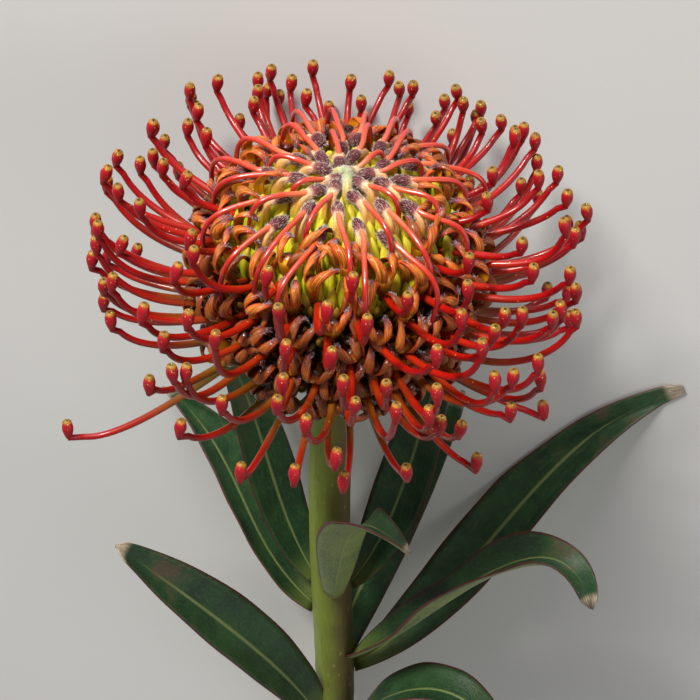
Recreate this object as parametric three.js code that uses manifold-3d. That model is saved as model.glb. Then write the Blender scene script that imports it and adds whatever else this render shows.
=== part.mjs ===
import * as THREE from 'three';
import { mergeVertices } from 'three/addons/utils/BufferGeometryUtils.js';
import Module from 'manifold-3d';

// A pincushion protea flower, picked with its stem and leaves and laid on its back.
// Millimetres. Every form is made upright: the flower's axis is z, its front is -y, and z = 0 is
// the top of the stem. One turn at the end lays the whole on the table, where +Z is up.

const { degToRad, radToDeg } = THREE.MathUtils;
const wasm = await Module();
wasm.setup();

// ---------------------------------------------------------------- driving dimensions
const FLORETS = 138;
const GOLDEN_TURN = Math.PI * (3 - Math.sqrt(5));
const SPIRAL_POWER = 0.8;
const LAST_FLORET_ANGLE = degToRad(122);
const OPEN_FROM_ANGLE = degToRad(40);
const APEX_STEP = 0.02;

// The dome is the surface that the florets' tops lie on: two half ellipsoids on one equator.
const DOME_RADIUS = 27;
const DOME_EQUATOR_Z = 30;
const DOME_RISE = 20;
const DOME_DROP = 40;
// The core fills this share of the dome under the opened florets, and more under the unopened ones.
const CORE_SCALE = 0.8;
const CORE_TOP_SCALE = 0.97;
const CORE_SIDES = 14;
const CORE_SIDE_ANGLES = [126, 112, 96, 80, 62].map((degrees) => degToRad(degrees));
const CORE_TOP_ANGLES = [42, 22].map((degrees) => degToRad(degrees));
const CORE_FOOT_RADIUS = 7;
const CORE_FOOT_Z = 4;

// A free style's tip, by how far down the head its floret sits (first row at the top). The tips
// at the back of the head sit lower, and those at its front higher, by TIP_FALL a millimetre.
const TIP_RADII = [28, 36, 42, 46.5, 48, 45];
const TIP_HEIGHTS = [51, 50, 47, 43, 34, 8];
const TIP_FALL = 0.08;
const TIP_SPREAD = { turn: degToRad(7), radius: 2.2, height: 2.6 };
// A style roots just below its floret. It sets out level or a little down, and bends up to its tip.
const STYLE_ROOT = { below: degToRad(6), depth: 0.08 };
const STYLE_OUT = { top: degToRad(28), low: degToRad(-24), share: 0.62 };
const STYLE_OUT_SPREAD = { rise: degToRad(7), turn: degToRad(9) };
const STYLE_END = { rise: degToRad(88), share: 0.72, least: 8, bulge: 1.5 };
const STYLE_END_SPREAD = { rise: degToRad(12), turn: degToRad(40), drop: 2 };
const STYLE_SIDES = 3;
const STYLE_RADIUS = 0.95;
const TUBE_RADIUS = 1.5;
const STYLE_STATIONS = [0, 0.34, 0.66];
const PRESENTER_LENGTH = 4.4;
const PRESENTER_RADIUS = 1.4;
const STRAY_FLORET = 135;
const STRAY_PATH = [[-36, -10, -10], [-52, -14, -17], [-53, -12, -7]];

// The curled perianth of an opened floret stands up more steeply than the dome under it and hooks
// over to the apex. Its crest and tip are given by how far up and how far inward they lie.
const PERIANTH_FOOT_SCALE = 0.93;
const PERIANTH_TURN_UP = { top: degToRad(26), low: degToRad(48) };
const RIBBON_WIDTH = 3;
const RIBBON_TIP_WIDTH = 1.4;
const RIBBON_THICKNESS = 1.2;
const RIBBON_LEAVES_AT = 0.1;
const RIBBON_CREST = { rise: 4.8, inward: 0, scatter: 0.6 };
const RIBBON_TIP = { rise: 2.8, inward: 3.2 };
const RIBBON_SWING = 1.2;

// An unopened floret: its limb lies towards the apex, and its style loops out and back in. The
// limb's tip, its middle and the collar each have a scale of the dome, share of the reach, radius.
const BUD_REACH = 4.4;
const BUD_LEAST_REACH = 1;
const BUD_LINE = [[1.02, 1, 0.7], [1.04, 0.4, 1.4], [1.04, -0.2, 1.3]];
const LOOP_STATIONS = [0.12, 0.42, 0.7, 1];
const LOOP_TURN = degToRad(150);
const LOOP_CENTRE_Z = 12;
const LOOP = { start: 2, reach: 10, rise: 3.8, sink: 12, lift: 0.4, spring: 2.3, curl: 0.75 };
const LOOP_SPREAD = { reach: 1.8, rise: 0.6, away: 0.25, bow: 1.6 };
const SPRING_POWER = 1.5;
// The youngest florets at the apex have no loop yet, and those round them have a short one.
const LOOPS_FROM = 3;
const LOOPS_FULL_FROM = 16;
const YOUNG_LOOP = 0.5;

// Slivers smaller than this are taken out of the fused head.
const SIMPLIFY_WITHIN = 0.05;

const HEAD_LEAN = degToRad(3.5);

const STEM_RADIUS = 4.7;
const STEM_LENGTH = 152;
const STEM_TOP_Z = -2.7;
const STEM_SIDES = 12;
const STEM_STEPS = 6;
const STEM_LINE = [[0, 0, STEM_TOP_Z], [-0.6, 0, -50], [0.4, 0, -104], [-0.4, 0, -STEM_LENGTH - 8]];
const CUT_SLANT = degToRad(28);
const KNIFE_SIZE = 60;
const GAP = 0.3;

const CUP_FOOT_Z = -2;
const CUP_TOP_Z = CORE_FOOT_Z - GAP;
const BRACT_ROWS = 3;
const BRACTS_IN_ROW = 7;
const CUP_SIDES = 10;
const CUP_PROFILE = [[0, CUP_FOOT_Z], [5, CUP_FOOT_Z], [7, 0.5], [6.4, CUP_TOP_Z], [0, CUP_TOP_Z]];
// A bract's radius, height over its foot and half width, from its foot to its point.
const BRACT = [[5.2, 0, 1.6], [8.1, 2, 1.9], [9.4, 3.6, 0.5]];
const BRACT_FOOT_Z = CUP_FOOT_Z + 0.6;
const BRACT_ROW_STEP = 1.1;
const BRACT_LEAN_STEP = 0.2;
const BRACT_HALF_THICKNESS = 0.5;
const BRACT_KEEL = 0.4;

const LEAF_THICKNESS = 0.8;
const LEAF_STATIONS = 11;
const LEAF_STRIPS = 4;
// A leaf's half width follows a bent half sine, and its waves lag a little from rim to rim.
const LEAF_OUTLINE = { from: 0.03, span: 0.93, skew: 0.95, fullness: 0.75 };
const WAVE_LAG = 1.4;

// How the flower lies: turned back until the rear styles and the stem's end touch the table.
const LIE_ANGLE = degToRad(14.5);
const AXIS_HEIGHT = 41.1;
const PRESS_HEIGHT = 4;
const PRESS_DEPTH = -0.5;
const ROW_SHIFT = [12.4, -48.1];
const TABLE_SIZE = 500;

// Each part's colour and roughness.
const LOOKS = {
  bloom: [0xd8402c, 0.45],
  bracts: [0x6f7a35, 0.6],
  stem: [0x7d8f3a, 0.6],
  leaf: [0x2f5a34, 0.5],
};

// Leaves: base, two guide points and tip of the midline, then the blade.
const LEAVES = [
  { name: 'leaf_01', line: [[-3, -3, -120], [-8, -12, -88], [-30, -20, -52], [-44, -25, -28]],
    width: 14, face: [0.35, -0.45, 0.8], cup: 0.42, wave: 0.3, turns: 1.5 },
  { name: 'leaf_02', line: [[-2, 2, -84], [-22, 8, -68], [-18, 22, -56], [-38, 33, -41]],
    width: 14, face: [1, -0.6, 0.5], cup: 0.45, wave: 0.4, turns: 1.5 },
  { name: 'leaf_03', line: [[-2, 3, -76], [-14, 10, -60], [-14, 16, -34], [-24, 20, -13]],
    width: 11, face: [0.3, -1, 0.6], cup: 0.35, wave: 0.4, turns: 2 },
  { name: 'leaf_04', line: [[0, -3, -76], [2, -14, -42], [2, -20, -16], [16, -28, -27]],
    width: 11, face: [0, 0.4, 1], cup: 0.5, wave: 0.3, turns: 1 },
  { name: 'leaf_05', line: [[3, 3, -76], [16, 8, -60], [18, 14, -36], [25, 18, -13]],
    width: 12, face: [-0.3, -1, 0.6], cup: 0.35, wave: 0.5, turns: 1.5 },
  { name: 'leaf_06', line: [[3, 1, -104], [34, 8, -88], [44, 28, -54], [79, 34, -42]],
    width: 15, face: [-0.6, -0.5, 0.6], cup: 0.4, wave: 0.6, turns: 1.5 },
  { name: 'leaf_07', line: [[3, -2, -96], [20, -10, -78], [46, -18, -14], [54, -30, -42]],
    width: 12, face: [-0.3, 0.2, 1], cup: 0.55, wave: 0.7, turns: 2.5 },
  { name: 'leaf_08', line: [[3, -3, -124], [14, -8, -92], [34, -16, -84], [37, -22, -106]],
    width: 12, face: [-0.2, 0.2, 1], cup: 0.45, wave: 0.5, turns: 1.5 },
  { name: 'leaf_09', line: [[-1, 3, -114], [1, 14, -98], [16, 22, -72], [29, 28, -38]],
    width: 12, face: [-0.3, -1, 0.5], cup: 0.35, wave: 0.4, turns: 1.5 },
];

// ---------------------------------------------------------------- small helpers
const vector = (x, y, z) => new THREE.Vector3(x, y, z);
const blend = (a, b, t) => a + (b - a) * t;

// One repeatable number from -1 to 1 for each floret and use.
function scatter(index, use) {
  const wave = Math.sin(index * 12.9898 + use * 78.233) * 43758.5453;
  return 2 * (wave - Math.floor(wave)) - 1;
}

// A value read along a short row of numbers, t from 0 to 1.
function along(row, t) {
  const place = Math.min(Math.max(t, 0), 1) * (row.length - 1);
  const cell = Math.min(Math.floor(place), row.length - 2);
  return blend(row[cell], row[cell + 1], place - cell);
}

function radial(angle) {
  return vector(Math.cos(angle), Math.sin(angle), 0);
}

function slanted(angle, rise) {
  return radial(angle).multiplyScalar(Math.cos(rise)).setZ(Math.sin(rise));
}

// A triangle list as one closed solid.
function solidFrom(geometry) {
  const bare = geometry.clone();
  bare.deleteAttribute('normal');
  bare.deleteAttribute('uv');
  const merged = mergeVertices(bare, 1e-5);
  const solid = new wasm.Manifold(new wasm.Mesh({
    numProp: 3,
    vertProperties: merged.attributes.position.array,
    triVerts: Uint32Array.from(merged.index.array),
  }));
  if (!(solid.volume() > 0)) throw new Error('a body faces inwards');
  return solid;
}

// A cut can leave loose scraps; only the main body is kept.
function largestBody(solid) {
  return solid.decompose().reduce((a, b) => (a.volume() > b.volume() ? a : b));
}

function geometryFrom(solid) {
  const mesh = solid.getMesh();
  const geometry = new THREE.BufferGeometry();
  geometry.setAttribute('position', new THREE.Float32BufferAttribute(mesh.vertProperties, 3));
  geometry.setIndex(new THREE.Uint32BufferAttribute(mesh.triVerts, 1));
  return geometry;
}

// A closed body skinned over rings of points; each ring runs the same way round.
function skinned(rings) {
  const count = rings[0].length;
  const points = rings.flat().flatMap((p) => [p.x, p.y, p.z]);
  const faces = [];
  for (let k = 0; k + 1 < rings.length; k += 1) {
    for (let j = 0; j < count; j += 1) {
      const a = k * count + j;
      const b = k * count + (j + 1) % count;
      faces.push(a, b, b + count, a, b + count, a + count);
    }
  }
  const last = (rings.length - 1) * count;
  for (let j = 1; j + 1 < count; j += 1) {
    faces.push(0, j + 1, j);
    faces.push(last, last + j, last + j + 1);
  }
  const geometry = new THREE.BufferGeometry();
  geometry.setAttribute('position', new THREE.Float32BufferAttribute(points, 3));
  geometry.setIndex(faces);
  return solidFrom(geometry);
}

// Rings of a round limb along a polyline; the first corner of each ring faces `side`.
function limbRings(points, radii, sides, side) {
  return points.map((point, k) => {
    const before = points[Math.max(k - 1, 0)];
    const after = points[Math.min(k + 1, points.length - 1)];
    const forward = after.clone().sub(before).normalize();
    const first = side.clone().addScaledVector(forward, -side.dot(forward)).normalize();
    const second = forward.clone().cross(first);
    return Array.from({ length: sides }, (_, j) => {
      const angle = (2 * Math.PI * j) / sides;
      return point.clone()
        .addScaledVector(first, radii[k] * Math.cos(angle))
        .addScaledVector(second, radii[k] * Math.sin(angle));
    });
  });
}

const limb = (points, radii, sides, side) => skinned(limbRings(points, radii, sides, side));

// ---------------------------------------------------------------- how the flower lies
const TABLE_UP = vector(0, -Math.cos(LIE_ANGLE), Math.sin(LIE_ANGLE));

const heightOver = (point) => AXIS_HEIGHT + point.dot(TABLE_UP);

// Bends a point that would go under the table back up to `room` above it, softly.
function pressed(point, room) {
  const height = heightOver(point);
  if (height >= PRESS_HEIGHT) return point.clone();
  const span = PRESS_HEIGHT - room;
  const lifted = room + span * Math.exp((height - PRESS_HEIGHT) / span);
  return point.clone().addScaledVector(TABLE_UP, lifted - height);
}

// The head leans a little to its right on the stem.
function leaned(point) {
  const c = Math.cos(HEAD_LEAN);
  const s = Math.sin(HEAD_LEAN);
  return vector(point.x * c + point.z * s, point.y, point.z * c - point.x * s);
}

// Everything under the table is cut away, which leaves small flats to rest on.
function onTable(solid) {
  const box = new THREE.BoxGeometry(TABLE_SIZE, TABLE_SIZE, TABLE_SIZE);
  box.translate(0, 0, -TABLE_SIZE / 2);
  box.applyMatrix4(lyingMatrix().invert());
  return solid.subtract(solidFrom(box));
}

// From the upright flower to the table: front up, bloom towards -Y.
function lyingMatrix() {
  const right = vector(-1, 0, 0);
  const back = vector(0, -Math.sin(LIE_ANGLE), -Math.cos(LIE_ANGLE));
  const axis = vector(0, -Math.cos(LIE_ANGLE), Math.sin(LIE_ANGLE));
  return new THREE.Matrix4()
    .makeBasis(right, back, axis)
    .setPosition(ROW_SHIFT[0], ROW_SHIFT[1], AXIS_HEIGHT);
}

// ---------------------------------------------------------------- the flower head
function onDome(angle, turn, scale) {
  const rise = angle < Math.PI / 2 ? DOME_RISE : DOME_DROP;
  const radius = DOME_RADIUS * Math.sin(angle) * scale;
  return radial(turn).multiplyScalar(radius).setZ(DOME_EQUATOR_Z + rise * Math.cos(angle) * scale);
}

// The florets of the spiral, from the apex down.
function florets() {
  return Array.from({ length: FLORETS }, (_, index) => {
    const angle = LAST_FLORET_ANGLE * ((index + 0.5) / FLORETS) ** SPIRAL_POWER;
    return { index, angle, turn: index * GOLDEN_TURN };
  });
}

const howLow = (floret) =>
  (floret.angle - OPEN_FROM_ANGLE) / (LAST_FLORET_ANGLE - OPEN_FROM_ANGLE);

// The direction along the dome from a floret to the apex.
function towardsApex(floret) {
  const here = onDome(floret.angle, floret.turn, 1);
  return onDome(floret.angle - APEX_STEP, floret.turn, 1).sub(here).normalize();
}

const sideways = (floret) => vector(-Math.sin(floret.turn), Math.cos(floret.turn), 0);

function core() {
  const profile = [new THREE.Vector2(0, CORE_FOOT_Z), new THREE.Vector2(CORE_FOOT_RADIUS, CORE_FOOT_Z)];
  const addPoint = (angle, scale) => {
    const point = onDome(angle, 0, scale);
    profile.push(new THREE.Vector2(point.x, point.z));
  };
  for (const angle of CORE_SIDE_ANGLES) addPoint(angle, CORE_SCALE);
  for (const angle of CORE_TOP_ANGLES) addPoint(angle, CORE_TOP_SCALE);
  profile.push(new THREE.Vector2(0, DOME_EQUATOR_Z + DOME_RISE * CORE_TOP_SCALE));
  const geometry = new THREE.LatheGeometry(profile, CORE_SIDES);
  geometry.rotateX(Math.PI / 2);
  geometry.rotateY(HEAD_LEAN);
  return solidFrom(geometry);
}

// The four guide points of a free style.
function styleGuides(floret) {
  const { index, angle, turn } = floret;
  const low = howLow(floret);
  const root = onDome(angle + STYLE_ROOT.below, turn, CORE_SCALE - STYLE_ROOT.depth);
  if (index === STRAY_FLORET) return [root, ...STRAY_PATH.map((p) => vector(...p))];
  const tipTurn = turn + TIP_SPREAD.turn * scatter(index, 1);
  const tipRadius = along(TIP_RADII, low) + TIP_SPREAD.radius * scatter(index, 2);
  const tip = radial(tipTurn).multiplyScalar(tipRadius);
  tip.z = along(TIP_HEIGHTS, low) + TIP_SPREAD.height * scatter(index, 3) - TIP_FALL * tip.y;
  const outRise = blend(STYLE_OUT.top, STYLE_OUT.low, low) + STYLE_OUT_SPREAD.rise * scatter(index, 4);
  const outTurn = turn + STYLE_OUT_SPREAD.turn * scatter(index, 6);
  const run = STYLE_OUT.share * (tipRadius - Math.hypot(root.x, root.y));
  const endRise = STYLE_END.rise + STYLE_END_SPREAD.rise * scatter(index, 5);
  const endTurn = tipTurn + STYLE_END_SPREAD.turn * scatter(index, 7);
  const climb = Math.max(STYLE_END.least, STYLE_END.share * (tip.z - root.z));
  const drop = climb + STYLE_END_SPREAD.drop * scatter(index, 8);
  const out = root.clone().addScaledVector(slanted(outTurn, outRise), run);
  const bend = tip.clone().addScaledVector(slanted(endTurn, endRise), -drop)
    .addScaledVector(radial(tipTurn), STYLE_END.bulge);
  return [root, out, bend, tip];
}

// An opened floret's tube, its free style and the club that presents its pollen, in one limb.
function freeStyle(floret) {
  const curve = new THREE.CubicBezierCurve3(...styleGuides(floret));
  const points = STYLE_STATIONS.map((t) => curve.getPoint(t));
  const radii = STYLE_STATIONS.map((t) => (t === 0 ? TUBE_RADIUS : STYLE_RADIUS));
  const tip = curve.getPoint(1);
  points.push(tip.clone().addScaledVector(curve.getTangent(1), -PRESENTER_LENGTH), tip);
  radii.push(STYLE_RADIUS, PRESENTER_RADIUS);
  const placed = points.map((point) => pressed(leaned(point), PRESS_DEPTH));
  return limb(placed, radii, STYLE_SIDES, sideways(floret));
}

// A point beside an opened floret: up along it, inward to the apex, and across.
function standing(floret) {
  const { angle, turn } = floret;
  const apex = towardsApex(floret);
  const side = sideways(floret);
  const out = side.clone().cross(apex);
  const lift = blend(PERIANTH_TURN_UP.top, PERIANTH_TURN_UP.low, howLow(floret));
  const up = out.clone().multiplyScalar(Math.cos(lift)).addScaledVector(apex, Math.sin(lift));
  const inward = apex.clone().multiplyScalar(Math.cos(lift)).addScaledVector(out, -Math.sin(lift));
  return (rise, reach, across) => onDome(angle, turn, PERIANTH_FOOT_SCALE)
    .addScaledVector(up, rise)
    .addScaledVector(inward, reach)
    .addScaledVector(side, across);
}

// The curled perianth of an opened floret: one broad ribbon that leaves the tube and hooks over.
function perianth(floret) {
  const at = standing(floret);
  const side = sideways(floret);
  const swing = RIBBON_SWING * scatter(floret.index, 11);
  const crest = RIBBON_CREST.rise + RIBBON_CREST.scatter * scatter(floret.index, 12);
  const curve = new THREE.CubicBezierCurve3(...styleGuides(floret));
  const points = [
    curve.getPoint(RIBBON_LEAVES_AT),
    at(crest, RIBBON_CREST.inward, swing / 2),
    at(RIBBON_TIP.rise, RIBBON_TIP.inward, swing),
  ];
  const halves = [STYLE_RADIUS, RIBBON_WIDTH, RIBBON_TIP_WIDTH].map((width) => width / 2);
  const thickness = [STYLE_RADIUS / 2, RIBBON_THICKNESS, RIBBON_THICKNESS];
  const rings = points.map((point, k) => {
    const before = points[Math.max(k - 1, 0)];
    const after = points[Math.min(k + 1, points.length - 1)];
    const forward = after.clone().sub(before).normalize();
    const across = side.clone().addScaledVector(forward, -side.dot(forward)).normalize();
    const normal = across.clone().cross(forward);
    return [
      leaned(point.clone().addScaledVector(across, -halves[k])),
      leaned(point.clone().addScaledVector(across, halves[k])),
      leaned(point.clone().addScaledVector(normal, -thickness[k])),
    ];
  });
  return skinned(rings);
}

// The points of an unopened floret's looped style, from the collar out and back into the head.
function loopPath(floret) {
  const { index, angle, turn } = floret;
  const start = onDome(angle, turn, 1);
  const away = towardsApex(floret).negate();
  const normal = start.clone().sub(vector(0, 0, LOOP_CENTRE_Z)).normalize();
  away.addScaledVector(normal.clone().cross(away), LOOP_SPREAD.away * scatter(index, 7)).normalize();
  const grown = blend(YOUNG_LOOP, 1, Math.min(index / LOOPS_FULL_FROM, 1));
  const reach = grown * (LOOP.reach + LOOP_SPREAD.reach * scatter(index, 8));
  const rise = grown * (LOOP.rise + LOOP_SPREAD.rise * scatter(index, 9));
  const bow = grown * LOOP_SPREAD.bow * scatter(index, 10);
  return (t) => {
    const swing = t * LOOP_TURN;
    const height = LOOP.lift + rise * Math.sin(swing) + LOOP.spring * (1 - t) ** SPRING_POWER;
    const point = start.clone()
      .addScaledVector(away, LOOP.start + reach * Math.sin(LOOP.curl * swing))
      .addScaledVector(normal, height)
      .addScaledVector(sideways(floret), bow * Math.sin(Math.PI * t));
    point.z -= grown * LOOP.sink * t ** 3;
    return point;
  };
}

// An unopened floret in one limb: the limb that lies towards the apex, the collar and the loop.
function bud(floret) {
  const { index, angle, turn } = floret;
  const apex = towardsApex(floret);
  const reach = Math.min(BUD_REACH, BUD_LEAST_REACH + DOME_RADIUS * angle);
  const points = BUD_LINE.map(([scale, share]) =>
    onDome(angle, turn, scale).addScaledVector(apex, share * reach));
  const radii = BUD_LINE.map(([, , radius]) => radius);
  if (index >= LOOPS_FROM) {
    points.push(...LOOP_STATIONS.map(loopPath(floret)));
    radii.push(...LOOP_STATIONS.map(() => STYLE_RADIUS));
  }
  return limb(points.map(leaned), radii, STYLE_SIDES, sideways(floret));
}

function flowerHead() {
  const solids = [core()];
  for (const floret of florets()) {
    if (floret.angle < OPEN_FROM_ANGLE) {
      solids.push(bud(floret));
    } else {
      solids.push(perianth(floret), freeStyle(floret));
    }
  }
  const whole = onTable(solids.reduce((sum, solid) => sum.add(solid))).simplify(SIMPLIFY_WITHIN);
  return largestBody(whole);
}

// ---------------------------------------------------------------- involucre and stem
// The cup of small pointed bracts under the head.
function involucre() {
  const profile = CUP_PROFILE.map(([r, z]) => new THREE.Vector2(r, z));
  const cup = new THREE.LatheGeometry(profile, CUP_SIDES);
  cup.rotateX(Math.PI / 2);
  let whole = solidFrom(cup);
  for (let row = 0; row < BRACT_ROWS; row += 1) {
    for (let n = 0; n < BRACTS_IN_ROW; n += 1) {
      const turn = (2 * Math.PI * (n + 0.5 * (row % 2))) / BRACTS_IN_ROW;
      whole = whole.add(bract(turn, row));
    }
  }
  return whole.rotate([0, radToDeg(HEAD_LEAN), 0]);
}

// A bract: each row stands higher, and its points spread a little wider.
function bract(turn, row) {
  const out = radial(turn);
  const side = vector(-Math.sin(turn), Math.cos(turn), 0);
  const foot = BRACT_FOOT_Z + BRACT_ROW_STEP * row;
  const leans = [0, -BRACT_LEAN_STEP * row, BRACT_LEAN_STEP * row];
  const rings = BRACT.map(([radius, height, half], k) => {
    const point = out.clone().multiplyScalar(radius + leans[k]).setZ(foot + height);
    const keel = BRACT_HALF_THICKNESS + (k < 2 ? BRACT_KEEL : 0);
    return [
      point.clone().addScaledVector(out, -BRACT_HALF_THICKNESS),
      point.clone().addScaledVector(side, -half),
      point.clone().addScaledVector(out, keel),
      point.clone().addScaledVector(side, half),
    ];
  });
  return skinned(rings);
}

// The stem, or the room that it needs, with `extra` added to its radius.
function stemBody(extra) {
  const outline = new THREE.Shape();
  for (let k = 0; k < STEM_SIDES; k += 1) {
    const angle = (2 * Math.PI * k) / STEM_SIDES;
    const radius = STEM_RADIUS + extra;
    outline[k ? 'lineTo' : 'moveTo'](radius * Math.cos(angle), radius * Math.sin(angle));
  }
  outline.closePath();
  const middle = new THREE.CatmullRomCurve3(STEM_LINE.map((point) => vector(...point)));
  const settings = { steps: STEM_STEPS, bevelEnabled: false, extrudePath: middle };
  return solidFrom(new THREE.ExtrudeGeometry(outline, settings));
}

// The stem is cut off at a slant.
function stem() {
  const knife = new THREE.BoxGeometry(KNIFE_SIZE, KNIFE_SIZE, KNIFE_SIZE);
  knife.translate(0, 0, -KNIFE_SIZE / 2);
  knife.rotateX(CUT_SLANT);
  knife.translate(0, 0, -STEM_LENGTH);
  return onTable(stemBody(0).subtract(solidFrom(knife)));
}

// ---------------------------------------------------------------- leaves
function halfWidth(leaf, t) {
  const { from, span, skew, fullness } = LEAF_OUTLINE;
  return (leaf.width / 2) * Math.sin(Math.PI * (from + span * t) ** skew) ** fullness;
}

// A leaf: a cupped, waved blade on a bent midline, split alike on both faces.
function leafSolid(leaf) {
  const curve = new THREE.CubicBezierCurve3(...leaf.line.map((p) => vector(...p)));
  const upper = [];
  const lower = [];
  for (let k = 0; k < LEAF_STATIONS; k += 1) {
    const t = k / (LEAF_STATIONS - 1);
    const middle = curve.getPoint(t);
    const forward = curve.getTangent(t);
    const face = vector(...leaf.face);
    face.addScaledVector(forward, -face.dot(forward)).normalize();
    const side = forward.clone().cross(face);
    const half = halfWidth(leaf, t);
    for (let j = 0; j <= LEAF_STRIPS; j += 1) {
      const s = (2 * j) / LEAF_STRIPS - 1;
      const ripple = leaf.wave * Math.sin(2 * Math.PI * leaf.turns * t + WAVE_LAG * s) * s * s;
      const point = middle.clone()
        .addScaledVector(side, half * s)
        .addScaledVector(face, leaf.cup * half * s * s + ripple);
      const over = point.clone().addScaledVector(face, LEAF_THICKNESS / 2);
      const under = point.clone().addScaledVector(face, -LEAF_THICKNESS / 2);
      upper.push(over);
      lower.push(under);
    }
  }
  for (let n = 0; n < upper.length; n += 1) settle(upper[n], lower[n]);
  return blade(upper, lower);
}

// Keeps a blade's two faces over the table and a full thickness apart.
function settle(over, under) {
  const low = Math.min(heightOver(over), heightOver(under));
  if (low >= 0) return;
  over.addScaledVector(TABLE_UP, -low);
  under.addScaledVector(TABLE_UP, -low);
}

function blade(upper, lower) {
  const across = LEAF_STRIPS + 1;
  const points = [...upper, ...lower].flatMap((p) => [p.x, p.y, p.z]);
  const under = upper.length;
  const faces = [];
  for (let k = 0; k + 1 < LEAF_STATIONS; k += 1) {
    for (let j = 0; j < LEAF_STRIPS; j += 1) {
      const a = k * across + j;
      const b = a + 1;
      const c = a + across;
      const d = c + 1;
      faces.push(a, b, d, a, d, c);
      faces.push(under + a, under + d, under + b, under + a, under + c, under + d);
    }
    const left = k * across;
    const right = left + LEAF_STRIPS;
    faces.push(left, left + across, under + left + across, left, under + left + across, under + left);
    faces.push(right, under + right + across, right + across, right, under + right, under + right + across);
  }
  const end = (LEAF_STATIONS - 1) * across;
  for (let j = 0; j < LEAF_STRIPS; j += 1) {
    faces.push(j, under + j, under + j + 1, j, under + j + 1, j + 1);
    const e = end + j;
    faces.push(e, e + 1, under + e + 1, e, under + e + 1, under + e);
  }
  const geometry = new THREE.BufferGeometry();
  geometry.setAttribute('position', new THREE.Float32BufferAttribute(points, 3));
  geometry.setIndex(faces);
  return solidFrom(geometry);
}

// ---------------------------------------------------------------- the whole
function piece(name, solid, [color, roughness]) {
  const material = new THREE.MeshStandardMaterial({ color, roughness, metalness: 0 });
  const mesh = new THREE.Mesh(geometryFrom(solid), material);
  mesh.name = name;
  return mesh;
}

const flower = new THREE.Group();
flower.name = 'pincushion_protea';
flower.add(piece('flower_head', flowerHead(), LOOKS.bloom));
flower.add(piece('involucre', involucre(), LOOKS.bracts));
flower.add(piece('stem', stem(), LOOKS.stem));
const stemRoom = stemBody(GAP);
for (const leaf of LEAVES) {
  flower.add(piece(leaf.name, onTable(leafSolid(leaf).subtract(stemRoom)), LOOKS.leaf));
}
flower.applyMatrix4(lyingMatrix());

export default flower;
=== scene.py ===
import random
from collections import namedtuple
from math import cos, degrees, exp, floor, hypot, pi, radians, sin, sqrt, tan, tau
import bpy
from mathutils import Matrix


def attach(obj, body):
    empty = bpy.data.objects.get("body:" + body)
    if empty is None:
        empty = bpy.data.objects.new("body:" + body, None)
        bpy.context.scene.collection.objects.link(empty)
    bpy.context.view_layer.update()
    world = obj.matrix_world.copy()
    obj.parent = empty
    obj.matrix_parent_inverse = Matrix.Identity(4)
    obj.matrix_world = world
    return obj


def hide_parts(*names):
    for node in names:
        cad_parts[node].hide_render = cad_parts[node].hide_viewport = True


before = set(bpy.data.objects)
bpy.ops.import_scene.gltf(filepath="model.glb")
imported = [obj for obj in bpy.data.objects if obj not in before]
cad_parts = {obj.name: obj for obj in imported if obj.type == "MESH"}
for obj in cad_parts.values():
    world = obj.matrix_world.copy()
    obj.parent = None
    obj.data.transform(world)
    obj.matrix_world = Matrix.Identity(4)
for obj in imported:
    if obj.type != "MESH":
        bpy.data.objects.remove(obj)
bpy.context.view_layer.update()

from types import SimpleNamespace as Sizes

import bpy
from mathutils import Matrix, Vector

# A picked pincushion protea flower lying on its back. Every form is made upright in millimetres,
# as the solids are: the flower's axis is z, its front is -y and z = 0 is the top of the stem.
# lay() turns a point down onto the table, in metres.

# ---- dimensions shared with the solids
FLORETS = 138
GOLDEN_TURN = pi * (3 - sqrt(5))
SPIRAL_POWER = 0.8
LAST_FLORET_ANGLE = radians(122)
OPEN_FROM_ANGLE = radians(40)

DOME_RADIUS = 27
DOME_EQUATOR_Z = 30
DOME_RISE = 20
DOME_DROP = 40
CORE_SCALE = 0.8
CORE_FOOT_RADIUS = 7
CORE_FOOT_Z = 4

TIP_RADII = [28, 36, 42, 46.5, 48, 45]
TIP_HEIGHTS = [51, 50, 47, 43, 34, 8]
TIP_FALL = 0.08
TIP_SPREAD = Sizes(turn=radians(7), radius=2.2, height=2.6)
STYLE_ROOT = Sizes(below=radians(6), depth=0.08)
STYLE_OUT = Sizes(top=radians(28), low=radians(-24), share=0.62)
STYLE_OUT_SPREAD = Sizes(rise=radians(7), turn=radians(9))
STYLE_END = Sizes(rise=radians(88), share=0.72, least=8, bulge=1.5)
STYLE_END_SPREAD = Sizes(rise=radians(12), turn=radians(40), drop=2)
PRESENTER_LENGTH = 4.4
STRAY_FLORET = 135
STRAY_PATH = [(-36, -10, -10), (-52, -14, -17), (-53, -12, -7)]

PERIANTH_FOOT_SCALE = 0.93
PERIANTH_TURN_UP = Sizes(top=radians(26), low=radians(48))

BUD_REACH = 4.4
BUD_LEAST_REACH = 1
LOOP_TURN = radians(150)
LOOP_CENTRE_Z = 12
LOOP = Sizes(start=2, reach=10, rise=3.8, sink=12, lift=0.4, spring=2.3, curl=0.75)
LOOP_SPREAD = Sizes(reach=1.8, rise=0.6, away=0.25, bow=1.6)
SPRING_POWER = 1.5
# The youngest florets at the apex have no loop yet, and those round them have a short one.
LOOPS_FROM = 3
LOOPS_FULL_FROM = 16
YOUNG_LOOP = 0.5

HEAD_LEAN = radians(3.5)
STEM_RADIUS = 4.7
STEM_LENGTH = 152
STEM_TOP_Z = -2.7
STEM_LINE = [(0, 0, STEM_TOP_Z), (-0.6, 0, -50), (0.4, 0, -104), (-0.4, 0, -160)]
CUT_SLANT = radians(28)
GAP = 0.3

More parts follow.
